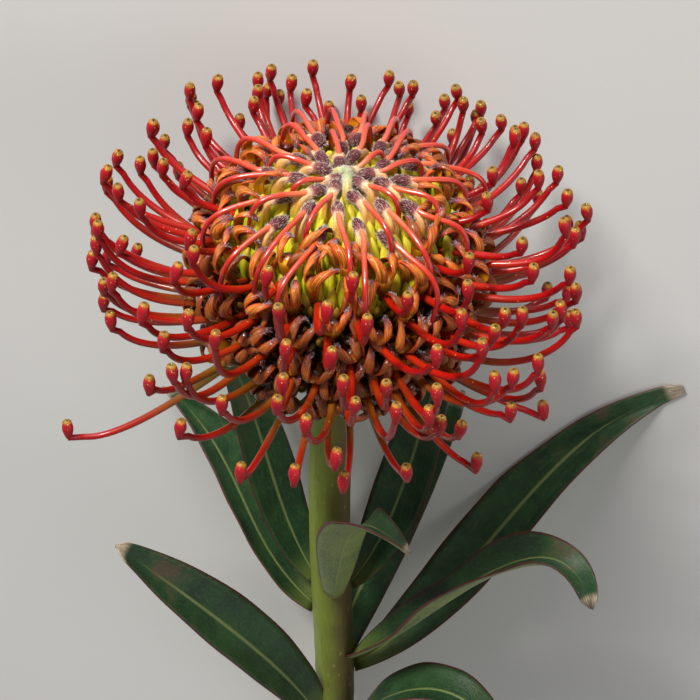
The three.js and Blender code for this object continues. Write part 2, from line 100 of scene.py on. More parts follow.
AT_AXIS = 0.05
CUP_FOOT_Z = -2
CUP_TOP_Z = CORE_FOOT_Z - GAP
CUP_PROFILE = [(AT_AXIS, CUP_FOOT_Z), (5, CUP_FOOT_Z), (7, 0.5), (6.4, CUP_TOP_Z), (AT_AXIS, CUP_TOP_Z)]
BRACT_ROWS = 3
BRACTS_IN_ROW = 7
# A bract's radius and height over its foot, from its foot to its point.
BRACT = [(5.2, 0), (8.1, 2), (9.4, 3.6)]
BRACT_HALF_WIDTH = 1.75
BRACT_FOOT_Z = CUP_FOOT_Z + 0.6
BRACT_ROW_STEP = 1.1
BRACT_LEAN_STEP = 0.2

LEAF_OUTLINE = Sizes(start=0.03, span=0.93, skew=0.95, fullness=0.75)
LEAF_THICKNESS = 0.8
WAVE_LAG = 1.4

LIE_ANGLE = radians(14.5)
AXIS_HEIGHT = 41.1
PRESS_HEIGHT = 4
PRESS_DEPTH = -0.5
ROW_SHIFT = (12.4, -48.1)
HIGH_UP = 500

# A leaf: the guide points of its line, its width, the way its upper face looks, how much it is cupped,
# and how high and how many the waves of its rim are.
Leaf = namedtuple("Leaf", "line width face cup wave turns")
LEAVES = [
    Leaf([(-3, -3, -120), (-8, -12, -88), (-30, -20, -52), (-44, -25, -28)],
         14, (0.35, -0.45, 0.8), 0.42, 0.3, 1.5),
    Leaf([(-2, 2, -84), (-22, 8, -68), (-18, 22, -56), (-38, 33, -41)],
         14, (1, -0.6, 0.5), 0.45, 0.4, 1.5),
    Leaf([(-2, 3, -76), (-14, 10, -60), (-14, 16, -34), (-24, 20, -13)],
         11, (0.3, -1, 0.6), 0.35, 0.4, 2),
    Leaf([(0, -3, -76), (2, -14, -42), (2, -20, -16), (16, -28, -27)],
         11, (0, 0.4, 1), 0.5, 0.3, 1),
    Leaf([(3, 3, -76), (16, 8, -60), (18, 14, -36), (25, 18, -13)],
         12, (-0.3, -1, 0.6), 0.35, 0.5, 1.5),
    Leaf([(3, 1, -104), (34, 8, -88), (44, 28, -54), (79, 34, -42)],
         15, (-0.6, -0.5, 0.6), 0.4, 0.6, 1.5),
    Leaf([(3, -2, -96), (20, -10, -78), (46, -18, -14), (54, -30, -42)],
         12, (-0.3, 0.2, 1), 0.55, 0.7, 2.5),
    Leaf([(3, -3, -124), (14, -8, -92), (34, -16, -84), (37, -22, -106)],
         12, (-0.2, 0.2, 1), 0.45, 0.5, 1.5),
    Leaf([(-1, 3, -114), (1, 14, -98), (16, 22, -72), (29, 28, -38)],
         12, (-0.3, -1, 0.5), 0.35, 0.4, 1.5),
]

# ---- finer dimensions, of this scene only
EXTRA_FLORETS = 44
# Each of them takes the widest gap of so many tries, between these places on the spiral.
GAP_TRIES = 40
GAP_PLACES = (0.08, 0.97)
PACKED_TUBES = 620
STYLE_RADIUS = 0.74
STYLE_SIDES = 10
STYLE_STEPS = 20
# A free style is thickest at its root, and its thickness waves a little.
STYLE_TAPER = Sizes(root=1.12, end=0.92, over=1.6, wave=0.04, waves=9)
# It stops clear of its tip, and then runs from a little back on the neck into the presenter.
STYLE_NECK = Sizes(clear=1.2, step=0.01, back=0.1, into=0.7)
# Low on the head its root is green.
GREEN_ROOT = Sizes(low=0.55, span=0.35)
# A presenter from its neck: how far along, how thick. Then its slit: how far along, how wide, how narrow.
PRESENTER_PROFILE = [(0, 0.62), (0.1, 0.74), (0.24, 0.95), (0.4, 1.14), (0.56, 1.2), (0.68, 1.13),
                     (0.77, 1.03), (0.80, 0.99), (0.83, 1), (0.9, 0.9), (0.96, 0.68), (1, 0.36)]
PRESENTER_SLIT = [(0.985, 0.26, 0.09), (0.93, 0.2, 0.04)]
PRESENTER_SIDES = 12
# The slit is painted as the very end; the profile's own end comes just before it.
CAP_PAINT = 0.96
# The segments of an opened floret: the saddle, the arms at its sides and the free arm.
FLORET_HEIGHT = (2.2, 3.8)
FLORET_SIZE = (1, 1.25)
FLORET_SWAY = 1.4
# Low on the head the saddle's tone is scaled down to its tone here: painted shade.
SADDLE = Sizes(lower=1, radius=1.7, arc=135, inward=-2.9, sway=0.4, tone=0.3)
SIDE_ARM = Sizes(rise=(-0.3, 1.2), radius=(1.9, 3), arc=(150, 235), inward=-2.3, aside=1, lean=0.9)
FREE_ARM = Sizes(rise=(-0.6, 0.8), radius=(1.8, 3.4), arc=(110, 210), inward=0.8, aside=1.2, lean=1.4)
FREE_SWAY = 2.6
ARM_THICKNESS = 0.28
ARM_RIM = 0.6
ARM_ASIDE = Sizes(foot=0.8, end=1.7, over=1.6)
# Painted shade low on the head: a segment's tone is scaled down to this, over this share of the slope, and
# low tones are painted dark brown.
LOW_ARM_SHADE = Sizes(tone=0.15, by=0.7)
ARM_STEPS = 16
ARM_CROSS_STEPS = (-1, -0.62, 0, 0.62, 1)
ARM_ROOT = -4.5
ARM_BEND_FROM = 0.42
ARM_CUP = 0.4
PERIANTH_TWIST = radians(45)
LOOP_RADIUS = 0.56
LOOP_STEPS = 30
LOOP_KNOTS = 23
BUD_YAW = Sizes(most=radians(20), by=4)
BUD_STEPS = 26
BUD_SIDES = 20
BUD_SIZE = Sizes(first=0.82, by=6, spread=(0.92, 1.08))
BUD_RISE = (-0.3, 0.6)
# An unopened floret's line, from its foot: towards the apex, out, down and in to the axis.
BUD_LINE = [(-1.6, 0, 8.5, 1.2), (-1.9, 0, 4.6, 0.3), (-2, 0, 1.6), (-1.2, 0.8), (0.6, 1.35),
            (2.4, 1.15), (4.1, 0.4)]
# Where its loop leaves the collar: towards the apex, and out.
LOOP_LEAVES = [(1.2, 1.6), (0.4, 2.1), (-1.2, 2.7)]
LOOP_SUNK = 0.7
LOOP_TAPER = 0.88
# The collar's slit: where along the floret it is, its groove and its lips, in degrees from its middle.
SLIT = Sizes(start=0.34, opens=0.1, closes=0.06, depth=0.5, width=30, lip=0.16, lip_at=52, lip_width=16)
SLIT_END = Sizes(open=0.7, shut=0.5)
HAIR_RADIUS = 0.032
HAIR_ROOT = 0.12
# A hair's bend: how far along it is, how thick it is there, and how far aside it and the tip are.
HAIR_BEND = Sizes(along=0.55, thick=0.75, aside=0.06, tip=0.22)
LIMB_HAIRS = 400
LIMB_HAIR = Sizes(places=(0.34, 0.99), crowding=0.85, out=(0.25, 0.8), length=(0.5, 1), sunk=0.06)
ARM_HAIRS = 45
ARM_HAIR = Sizes(places=(0.72, 0.99), along=(0.3, 1.2), out=(0.3, 1), aside=0.7, length=(0.35, 0.8),
                 half=0.45, lift=0.1)
# An unopened floret, from the foot of its tube over the collar to the limb's tip: how far along, how thick.
BUD_OUTLINE = [(0, 1.4), (0.28, 1.45), (0.4, 1.3), (0.48, 1.12), (0.56, 1), (0.64, 0.96), (0.7, 1.04),
               (0.77, 1.16), (0.84, 1.14), (0.91, 0.93), (0.96, 0.62), (1, 0.18)]
ARM_WIDTH = [(0, 1.4), (0.3, 1.9), (0.5, 1.9), (0.7, 1.5), (0.84, 1.25), (0.93, 1), (0.98, 0.65), (1, 0.2)]
SADDLE_WIDTH = [(0, 1.8), (0.3, 2.6), (0.5, 3.2), (0.7, 3.2), (0.85, 2.6), (0.95, 1.6), (1, 0.6)]
TUBE_OUTLINE = [(0, 1), (0.4, 1), (0.6, 0.95), (0.75, 0.86), (0.85, 0.74), (0.92, 0.58), (0.97, 0.36),
                (1, 0.1)]
# A packed tube at the apex, then one low on the head: its radius, and how high on the dome it ends.
TUBE_RADII = (1.4, 1)
TUBE_TOPS = (0.99, 0.93)
TUBE_SHRINKS = Sizes(angle=0.82, span=0.45)
TUBE_SPREAD = Sizes(height=(-0.04, 0.05), turn=(-0.5, 0.5), inward=(0.4, 1.6))
TUBE_FIRST_TURN = 0.4
LOW_TUBE_FOOT = Sizes(below=0.05, scale=0.7)
TUBE_LENGTH = 10
TUBE_BEND = 2.2
TUBE_STEPS = 12
TUBE_SIDES = 10
# The tubes' lower ends: from the head's foot, how far out and how high, and how thick they are.
LOWER_TUBES = 72
LOWER_LINE = [(7.6, CORE_FOOT_Z + 1.2), (12.5, 6.8)]
LOWER_TOP = Sizes(radius=(17, 20.5), height=(9, 15), turn=(-0.03, 0.03))
LOWER_RADII = [0.45, 0.6, 0.72, 0.8, 0.85, 0.85, 0.8, 0.6]
LOWER_SIDES = 8
CORE_INSET = 0.02
CORE_SIDES = 48
CUP_SIDES = 28
BRACT_STEPS = 8
BRACT_TAPER = Sizes(start=0.35, narrow=0.88)
BRACT_THICKNESS = Sizes(inner=0.3, hollow=0.2, outer=0.45)
STEM_STEPS = 90
STEM_SIDES = 28
STEM_SINK = 0.22
STEM_END_Z = -STEM_LENGTH - 4
# Ridges down the stem: how many, how high and how much they wind.
STEM_RIDGES = ((5, 0.08, 0.02), (9, 0.06, 0))
KNUCKLE = Sizes(above=3, height=0.1, length=2.2)
# The cut face from its rim: how far out, and how far sunk.
STEM_CUT = ((0.93, 0), (0.6, 0.15), (0.25, 0.15))
LEAF_STEPS = 36
LEAF_STRIPS = 10
LEAF_TIP = Sizes(start=0.97, narrow=0.55)
LEAF_LIFT = 0.7
LEAF_RIM = 0.45
CRIMP = Sizes(height=0.12, waves=31)
MIDRIB = Sizes(height=0.22, width=0.12)

# The photograph's viewpoint, in the upright flower: right of the picture is +x.
VIEW_FROM_AXIS = radians(44)
VIEW_DISTANCE = 520
PIXELS_PER_MM = 4.9
PICTURE_SIZE = 700
BASE_PIXEL = (331, 364)
SENSOR = 36

# The bloom is lit from the upper left of the photograph, which is +X and -Y here.
LIGHTS = {
    "key": dict(place=(0.4, -0.95, 0.6), aim=(0, -0.05, 0.04), size=0.2, power=1.95, colour=(1, 0.97, 0.93)),
    "fill": dict(place=(-0.7, 0.1, 0.6), aim=(0, -0.03, 0.04), size=0.8, power=0.42, colour=(1, 0.98, 0.95)),
    "rim": dict(place=(0.1, -0.9, 0.25), aim=(0, -0.05, 0.04), size=0.3, power=0.42, colour=(1, 0.98, 0.96)),
}
BEAM = radians(70)
AIR = dict(Color=(0.86, 0.86, 0.86, 1), Strength=0.28)
FLOOR_HALF = 1.6


# ---- small helpers
def blend(a, b, t):
    return a + (b - a) * t


def scatter(index, use):
    """A fixed spread from -1 to 1: another for each index and each use."""
    wave = sin(index * 12.9898 + use * 78.233) * 43758.5453
    return 2 * (wave - floor(wave)) - 1


def along(row, t):
    place = min(max(t, 0), 1) * (len(row) - 1)
    cell = min(int(place), len(row) - 2)
    return blend(row[cell], row[cell + 1], place - cell)


def outline(rows, t):
    """The second value of rows of (place, value), read at t."""
    for (a, low), (b, high) in zip(rows, rows[1:]):
        if t <= b:
            return blend(low, high, (t - a) / (b - a))
    return rows[-1][1]


def eased(t):
    t = min(max(t, 0), 1)
    return t * t * (3 - 2 * t)


def radial(angle):
    return Vector((cos(angle), sin(angle), 0))


def sideways(angle):
    return Vector((-sin(angle), cos(angle), 0))


def slanted(angle, rise):
    level = cos(rise)
    return Vector((cos(angle) * level, sin(angle) * level, sin(rise)))


def bezier(guides, t):
    a, b, c, d = guides
    s = 1 - t
    return a * s ** 3 + b * (3 * s * s * t) + c * (3 * s * t * t) + d * t ** 3


def bezier_heading(guides, t):
    a, b, c, d = guides
    s = 1 - t
    return ((b - a) * (s * s) + (c - b) * (2 * s * t) + (d - c) * (t * t)).normalized()


def shares(count):
    """0 to 1 in equal steps."""
    return [k / count for k in range(count + 1)]


def square(side, heading):
    """The side, turned to stand square to a heading."""
    return (side - heading * side.dot(heading)).normalized()


def heading_at(path, k):
    return (path[min(k + 1, len(path) - 1)] - path[max(k - 1, 0)]).normalized()


def part_way(path, share, side):
    """A point part of the way along a path, the heading there and the side square to it."""
    place = share * (len(path) - 1)
    cell = min(int(place), len(path) - 2)
    heading = (path[cell + 1] - path[cell]).normalized()
    return path[cell].lerp(path[cell + 1], place - cell), heading, square(side, heading)


def through(knots, t):
    """A point on a smooth curve through all the knots."""
    place = min(max(t, 0), 1) * (len(knots) - 1)
    cell = min(int(place), len(knots) - 2)
    u = place - cell
    a = knots[max(cell - 1, 0)]
    b = knots[cell]
    c = knots[cell + 1]
    d = knots[min(cell + 2, len(knots) - 1)]
    return 0.5 * ((2 * b) + (c - a) * u + (2 * a - 5 * b + 4 * c - d) * u * u
                  + (3 * b - a - 3 * c + d) * u ** 3)


# ---- how the flower lies
TABLE_UP = Vector((0, -cos(LIE_ANGLE), sin(LIE_ANGLE)))


def lay(point):
    c = cos(LIE_ANGLE)
    s = sin(LIE_ANGLE)
    x = -point.x + ROW_SHIFT[0]
    y = -point.y * s - point.z * c + ROW_SHIFT[1]
    z = -point.y * c + point.z * s + AXIS_HEIGHT
    return Vector((x, y, max(z, 0))) / 1000


def height_over(point):
    return AXIS_HEIGHT + point.dot(TABLE_UP)


def pressed(point, room):
    height = height_over(point)
    if height >= PRESS_HEIGHT:
        return point.copy()
    span = PRESS_HEIGHT - room
    lifted = room + span * exp((height - PRESS_HEIGHT) / span)
    return point + TABLE_UP * (lifted - height)


def leaned(point):
    c = cos(HEAD_LEAN)
    s = sin(HEAD_LEAN)
    return Vector((point.x * c + point.z * s, point.y, point.z * c - point.x * s))


def lay_direction(vector):
    """The way a direction points once laid down, read high over the table, clear of its surface."""
    high = Vector((0, -HIGH_UP, 0))
    return (lay(vector + high) - lay(high)).normalized()


# ---- camera, floor and light
def linked(name, data):
    made = bpy.data.objects.new(name, data)
    bpy.context.scene.collection.objects.link(made)
    return made


def photo_camera():
    away = Vector((0, -sin(VIEW_FROM_AXIS), cos(VIEW_FROM_AXIS)))
    up = Vector((0, cos(VIEW_FROM_AXIS), sin(VIEW_FROM_AXIS)))
    right = Vector((1, 0, 0))
    middle = PICTURE_SIZE / 2
    target = right * ((middle - BASE_PIXEL[0]) / PIXELS_PER_MM)
    target = target + up * ((BASE_PIXEL[1] - middle) / PIXELS_PER_MM)
    data = bpy.data.cameras.new("photo_camera")
    data.sensor_width = SENSOR
    data.lens = PIXELS_PER_MM * VIEW_DISTANCE / PICTURE_SIZE * SENSOR
    camera = linked("photo_camera", data)
    camera.location = lay(target + away * VIEW_DISTANCE)
    x = lay_direction(right)
    y = lay_direction(up)
    z = lay_direction(away)
    turn = [[x[k], y[k], z[k]] for k in range(3)]
    camera.rotation_mode = "QUATERNION"
    camera.rotation_quaternion = Matrix(turn).to_quaternion()
    bpy.context.scene.camera = camera


def soft_light(name, place, aim, size, power, colour):
    data = bpy.data.lights.new(name, "AREA")
    data.shape = "DISK"
    data.size = size
    data.spread = BEAM
    data.energy = power
    data.color = colour
    lamp = linked(name, data)
    lamp.location = place
    lamp.rotation_mode = "QUATERNION"
    lamp.rotation_quaternion = (Vector(aim) - Vector(place)).to_track_quat("-Z", "Y")


def studio():
    data = bpy.data.meshes.new("floor")
    corners = [(x * FLOOR_HALF, y * FLOOR_HALF, 0) for x, y in ((-1, -1), (1, -1), (1, 1), (-1, 1))]
    data.from_pydata(corners, [], [(0, 1, 2, 3)])
    data.materials.append(floor_finish())
    linked("floor", data)
    for name, light in LIGHTS.items():
        soft_light(name, **light)
    world = bpy.data.worlds.new("studio_air")
    world.use_nodes = True
    for name, value in AIR.items():
        world.node_tree.nodes["Background"].inputs[name].default_value = value
    bpy.context.scene.world = world


# ---- how a finish is made
def tint(colour):
    """A screen's colour, 0xrrggbb, as light; anything else is left as it is."""
    if not isinstance(colour, int):
        return colour
    levels = [(colour >> shift & 255) / 255 for shift in (16, 8, 0)]
    return (*(v / 12.92 if v <= 0.04045 else ((v + 0.055) / 1.055) ** 2.4 for v in levels), 1)


class Amount:
    """A number that changes over a surface; arithmetic on it adds Math nodes."""

    def __init__(self, finish, socket):
        self.finish = finish
        self.socket = socket

    def math(self, operation, *values):
        return self.finish.node("Math", {"operation": operation}, list(values))

    def __add__(self, other):
        return self.math("ADD", self, other)

    __radd__ = __add__

    def __mul__(self, other):
        return self.math("MULTIPLY", self, other)

    __rmul__ = __mul__

    def __sub__(self, other):
        return self.math("SUBTRACT", self, other)

    def __rsub__(self, other):
        return self.math("SUBTRACT", other, self)

    def size(self):
        return self.math("ABSOLUTE", self)

    def step(self, low, high):
        """0 under low, 1 over high and smooth between; low may be the larger."""
        settings = {"interpolation_type": "SMOOTHSTEP", "clamp": True}
        if low < high:
            return self.finish.node("MapRange", settings, [self, low, high, 0, 1])
        return self.finish.node("MapRange", settings, [self, high, low, 1, 0])


class Finish:
    """One material, built from nodes round a Principled shader."""

    def __init__(self, name, shine, flesh=0, depth=0.001, **fixed):
        """Shine is the specular level; light goes into the flesh by so much, and so deep in metres."""
        fixed["Specular_IOR_Level"] = shine
        if flesh:
            fixed.update(Subsurface_Weight=flesh, Subsurface_Scale=depth)
        self.material = bpy.data.materials.new(name)
        self.material.use_nodes = True
        self.tree = self.material.node_tree
        self.shader = self.tree.nodes["Principled BSDF"]
        self.wear(**fixed)

    def node(self, kind, settings, inputs, output=0):
        made = self.tree.nodes.new("ShaderNode" + kind)
        for key, value in settings.items():
            setattr(made, key, value)
        pairs = inputs.items() if isinstance(inputs, dict) else enumerate(inputs)
        for place, value in pairs:
            self.put(made.inputs[place], value)
        return Amount(self, made.outputs[output])

    def put(self, socket, value):
        if isinstance(value, Amount):
            self.tree.links.new(value.socket, socket)
        else:
            socket.default_value = value

    def wear(self, **inputs):
        for socket, value in inputs.items():
            self.put(self.shader.inputs[socket.replace("_", " ")], value)
        return self.material

    def done(self, colour, roughness, **others):
        return self.wear(Base_Color=colour, Roughness=roughness, **others)

    def painted(self, *names):
        """Values painted on the mesh's points."""
        return [self.node("Attribute", {"attribute_name": name}, [], "Fac") for name in names]

    def place(self, *scale):
        """Where the surface is, in metres, stretched by scale."""
        spot = self.node("TexCoord", {}, [], "Object")
        return self.node("VectorMath", {"operation": "MULTIPLY"}, [spot, scale])

    def noise(self, where, scale, detail=3, rough=0.55):
        inputs = {"Vector": where, "Scale": scale, "Detail": detail, "Roughness": rough}
        return self.node("TexNoise", {}, inputs, "Fac")

    def grain(self, scale, detail):
        """Noise alike in every direction."""
        return self.noise(self.place(1, 1, 1), scale, detail)

    def streaks(self, x, y, z, *noise):
        """Noise drawn out over painted values."""
        return self.noise(self.node("CombineXYZ", {}, [x, y, z]), *noise)

    def dots(self, scale, low, high, stretch=1):
        """Small spots where the distance from the cells' middles is least."""
        inputs = {"Vector": self.place(1, stretch, 1), "Scale": scale}
        return self.node("TexVoronoi", {}, inputs, "Distance").step(low, high)

    def mix(self, factor, a, b):
        settings = {"data_type": "RGBA", "clamp_factor": True}
        return self.node("Mix", settings, {0: factor, 6: tint(a), 7: tint(b)}, 2)

    def over(self, colour, *layers):
        """A colour with others laid over it, each by its own amount."""
        for amount, layer in layers:
            colour = self.mix(amount, colour, layer)
        return colour

    def ramp(self, amount, *stops):
        made = self.node("ValToRGB", {}, [amount])
        elements = made.socket.node.color_ramp.elements
        while len(elements) < len(stops):
            elements.new(0.5)
        for element, (place, colour) in zip(elements, stops):
            element.position = place
            element.color = tint(colour)
        return made

    def bumped(self, height, strength, distance):
        inputs = {"Height": height, "Strength": strength, "Distance": distance}
        return self.node("Bump", {}, inputs)


# ---- finishes
def floor_finish():
    finish = Finish("pale_floor", 0.2)
    grain = finish.grain(9, 4)
    colour = finish.mix(grain, (0.60, 0.60, 0.59, 1), (0.64, 0.64, 0.63, 1))
    return finish.done(colour, 0.75 + 0.1 * grain)


def style_finish():
    """Glossy coral-red style: olive at the root, orange, coral, then crimson at the tip."""
    finish = Finish("style_red", 0.3, flesh=0.12, Coat_Roughness=0.16, Coat_Weight=0.3, Coat_IOR=1.7)
    up, across, tone, root = finish.painted("along", "across", "tone", "mark")
    mottle = finish.grain(420, 3)
    shifted = up + 0.10 * (tone - 0.5) + 0.06 * (mottle - 0.5)
    red = finish.ramp(shifted, (0, 0x9c4e0c), (0.2, 0xb4280a), (0.5, 0xae0e06), (0.78, 0x9c0408),
                      (1, 0x90020e))
    green = finish.ramp(shifted, (0, 0x686c1c), (0.3, 0x805414), (0.5, 0x9c260c), (0.75, 0xa80c0a),
                        (1, 0x94040e))
    dusted = finish.dots(900, 0.16, 0.08) * finish.grain(160, 3).step(0.52, 0.6)
    colour = finish.over(red, (root, green), (dusted * 0.8, 0xf6d678))
    fibre = finish.streaks(up * 6, across * 9, tone * 40, 3)
    return finish.done(colour, 0.3 + 0.12 * mottle, Normal=finish.bumped(fibre, 0.25, 0.0002))


def presenter_finish():
    """Crimson club with a yellow-green cap and a dark slit in it."""
    finish = Finish("presenter_crimson", 0.4, flesh=0.1, Coat_Roughness=0.3, Coat_Weight=0.1)
    up, tone = finish.painted("along", "tone")
    grain = finish.grain(900, 4)
    edge = up + 0.05 * (grain - 0.5)
    colour = finish.ramp(edge, (0, 0xa00a12), (0.3, 0xaa0818), (0.62, 0xa0041a), (0.75, 0xb61420),
                         (0.82, 0xc4421e), (0.88, 0xbe7c24), (0.94, 0x967a24), (0.985, 0x4c3614))
    patches = finish.grain(1500, 2).step(0.46, 0.62) * up.step(0.78, 0.86)
    colour = finish.mix(patches * 0.7, colour, 0x7a4816)
    pale = finish.mix((tone - 0.35) * 0.7, colour, 0xc41a24)
    specks = finish.dots(1300, 0.2, 0.1)
    pollen = specks * up.step(0.35, 0.8) * 0.8
    colour = finish.over(colour, (up.step(0.7, 0.6) * 0.6, pale), (pollen, 0xfae282))
    return finish.done(colour, 0.42 + 0.2 * grain, Normal=finish.bumped(grain + specks, 0.35, 0.00015))


def arm_finish():
    """Perianth segment: streaked orange outside, glossy gold inside, maroon hollow, purple tip, with painted
    highlights and painted shade.
    """
    finish = Finish("perianth_orange", 0.3, flesh=0.12, Coat_Roughness=0.1)
    up, across, tone, inner = finish.painted("along", "across", "tone", "mark")
    streaks = finish.streaks(up * 1.4, across * 5, tone * 60, 2.2, 4, 0.65)
    # All three ramps darken to olive towards the root: partly the olive tube, partly painted shade deep
    # among the florets.
    outer = finish.ramp(up, (0, 0x4c5406), (0.2, 0x8a6606), (0.42, 0xce7006), (0.66, 0xe26c08),
                        (0.8, 0xd05a24), (0.88, 0x8c4c54), (1, 0x543042))
    dark = finish.ramp(up, (0, 0x283002), (0.3, 0x4a2802), (0.6, 0x601c04), (0.82, 0x60160c),
                       (0.92, 0x46202a), (1, 0x3c1e2c))
    # The gold is brightest round the bend, where a painted highlight is laid into it; towards the tip it
    # turns maroon-dark, partly anthers and partly painted shade in the hollow.
    gold = finish.ramp(up, (0, 0x282e02), (0.28, 0x7c5402), (0.44, 0xde9610), (0.6, 0xf6ba38),
                       (0.72, 0xc4620c), (0.84, 0x5c1c08), (0.92, 0x32100c), (1, 0x220c0e))
    # Painted highlight: gold-cream streaks laid on the outer faces round the bend.
    painted_glint = streaks.step(0.5, 0.36) * up.step(0.25, 0.45) * up.step(0.86, 0.7)
    outer = finish.over(outer, (streaks.step(0.46, 0.6) * 0.8, dark), (painted_glint * 0.85, 0xf6bc60))
    gold = finish.mix(streaks.step(0.45, 0.68) * 0.6, gold, 0x683204)
    rim = across.size().step(0.7, 0.98) * up.step(0.2, 0.45) * up.step(0.94, 0.84)
    # Low tones are laid over with dark brown: painted shade on segments low on the head, tone that differs
    # at random elsewhere.
    colour = finish.over(outer, (inner, gold), (rim * 0.85, 0xce3e18), (tone.step(0.8, 1) * 0.3, 0xb43c14),
                         (tone.step(0.3, 0) * 0.7, 0x4e1602))
    rough = 0.34 + 0.2 * streaks - 0.2 * inner + 0.3 * up.step(0.75, 0.9)
    coat = 0.3 + 0.5 * inner * up.step(0.25, 0.4)
    return finish.done(colour, rough, Coat_Weight=coat, Normal=finish.bumped(streaks, 0.5, 0.0003))


def limb_finish():
    """Unopened floret: peach collar, purple-brown limb under a bloom of fine hairs."""
    finish = Finish("limb_purple", 0.35, flesh=0.1, Sheen_Weight=0.08, Sheen_Roughness=0.5)
    up, across, tone, young = finish.painted("along", "across", "tone", "mark")
    mottle = finish.grain(700, 4)
    ridges = finish.streaks(up * 2, across * 7, tone * 50, 2)
    edge = up + 0.10 * (mottle - 0.5) + 0.05 * (tone - 0.5)
    ripe = finish.ramp(edge, (0, 0x96b008), (0.16, 0xb0b810), (0.3, 0xc4b020), (0.42, 0xd89e3a),
                       (0.54, 0xf6ca80), (0.65, 0xf8d4ac), (0.71, 0x8a4644), (0.78, 0x5a1e28), (1, 0x46141e))
    green = finish.ramp(edge, (0, 0x788c18), (0.45, 0xbac460), (0.72, 0xccdea0), (1, 0xa4b484))
    blush = ridges.step(0.48, 0.6) * up.step(0.3, 0.48) * up.step(0.7, 0.62)
    colour = finish.over(ripe, (young, green), (ridges.step(0.5, 0.7) * 0.25, 0x844648),
                         (blush * 0.6, 0xe27442))
    height = ridges + 0.6 * mottle
    return finish.done(colour, 0.5 + 0.25 * mottle, Normal=finish.bumped(height, 0.5, 0.0003))


def loop_finish():
    """The red style of an unopened floret, paler and orange where it leaves the collar."""
    finish = Finish("loop_coral", 0.45, flesh=0.08, Coat_Roughness=0.2, Coat_Weight=0.9, Coat_IOR=1.7)
    up, across, tone = finish.painted("along", "across", "tone")
    mottle = finish.grain(380, 3)
    shifted = up + 0.12 * (tone - 0.5)
    colour = finish.ramp(shifted, (0, 0xe8804e), (0.12, 0xd84826), (0.4, 0xc82212), (0.7, 0xa4080a),
                         (1, 0x700606))
    colour = finish.mix(mottle.step(0.45, 0.75) * 0.2, colour, 0xe86846)
    fibre = finish.streaks(up * 6, across * 9, tone * 40, 3)
    return finish.done(colour, 0.26 + 0.1 * mottle, Normal=finish.bumped(fibre, 0.2, 0.0002))


def tube_finish():
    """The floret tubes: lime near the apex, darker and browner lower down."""
    finish = Finish("tube_lime", 0.45, flesh=0.3, depth=0.0015)
    up, across, tone, low = finish.painted("along", "across", "tone", "mark")
    ribs = finish.streaks(up * 1.5, across * 6, tone * 60, 2.2)
    lime = finish.ramp(up, (0, 0xa0c408), (0.45, 0xcce412), (0.75, 0xe4e428), (1, 0xe4cc42))
    # The brown ramp is darkest at a tube's foot: painted shade deep between the florets.
    brown = finish.ramp(up, (0, 0x2c3406), (0.5, 0x545208), (1, 0x865614))
    colour = finish.over(lime, (low, brown), (ribs.step(0.5, 0.62) * 0.4, 0x766c0e))
    return finish.done(colour, 0.4 + 0.25 * ribs, Normal=finish.bumped(ribs, 0.45, 0.0003))


def core_finish():
    finish = Finish("core_shadow", 0.25)
    grain = finish.grain(300, 5)
    colour = finish.mix(grain, 0x1a200a, 0x484218)
    return finish.done(colour, 0.8 - 0.1 * grain, Normal=finish.bumped(grain, 0.7, 0.0006))


def hair_finish(name, root, tip):
    finish = Finish(name, 0.4, Sheen_Weight=0.2)
    up, tone = finish.painted("along", "tone")
    colour = finish.mix(up + 0.3 * (tone - 0.5), root, tip)
    return finish.done(colour, 0.45 + 0.15 * tone)


def leaf_finish():
    """Leathery leaf: dark green above, grey-lime below, red-purple margin, pale callus tip."""
    finish = Finish("leaf_green", 0.45, flesh=0.08, depth=0.002, Coat_Roughness=0.35, Coat_Weight=0.08)
    up, across, tone, under = finish.painted("along", "across", "tone", "mark")
    vein = finish.streaks(up * 7, across * 2.2 + up * 1.2, tone * 30, 4, 5, 0.6)
    net = finish.streaks(up * 60, across * 9, tone * 30, 1.2, 4, 0.6)
    blotch = finish.grain(120, 4)
    above = finish.mix(blotch.step(0.3, 0.7), 0x18361e, 0x2c522a)
    above = finish.mix(net.step(0.5, 0.66) * 0.35, above, 0x4a6c38)
    below = finish.mix(blotch.step(0.3, 0.7), 0x567042, 0x809252)
    below = finish.mix(net.step(0.34, 0.6) * 0.5, below, 0x9ca668)
    midrib = across.size().step(0.09, 0.02) * up.step(0.97, 0.7)
    flush = blotch.step(0.52, 0.66) * up.step(0.55, 0.95)
    rim = (across.size() + 0.03 * (blotch - 0.5) + 0.06 * (net - 0.5)).step(0.92, 0.975)
    callus = (up + 0.02 * (blotch - 0.5)).step(0.955, 0.975)
    grey = finish.mix(vein.step(0.4, 0.6), 0xb8ac94, 0x7c6c58)
    colour = finish.over(above, (under, below), (midrib * 0.6, 0x96a460), (up.step(0.2, 0) * 0.6, 0x889446),
                         (flush * 0.6, 0x703e3e), (rim * 0.9, 0x581820), (callus, grey))
    height = vein * 0.5 + net * 0.6 - midrib * 0.8
    return finish.done(colour, 0.36 + 0.25 * blotch, Normal=finish.bumped(height, 0.5, 0.0005))


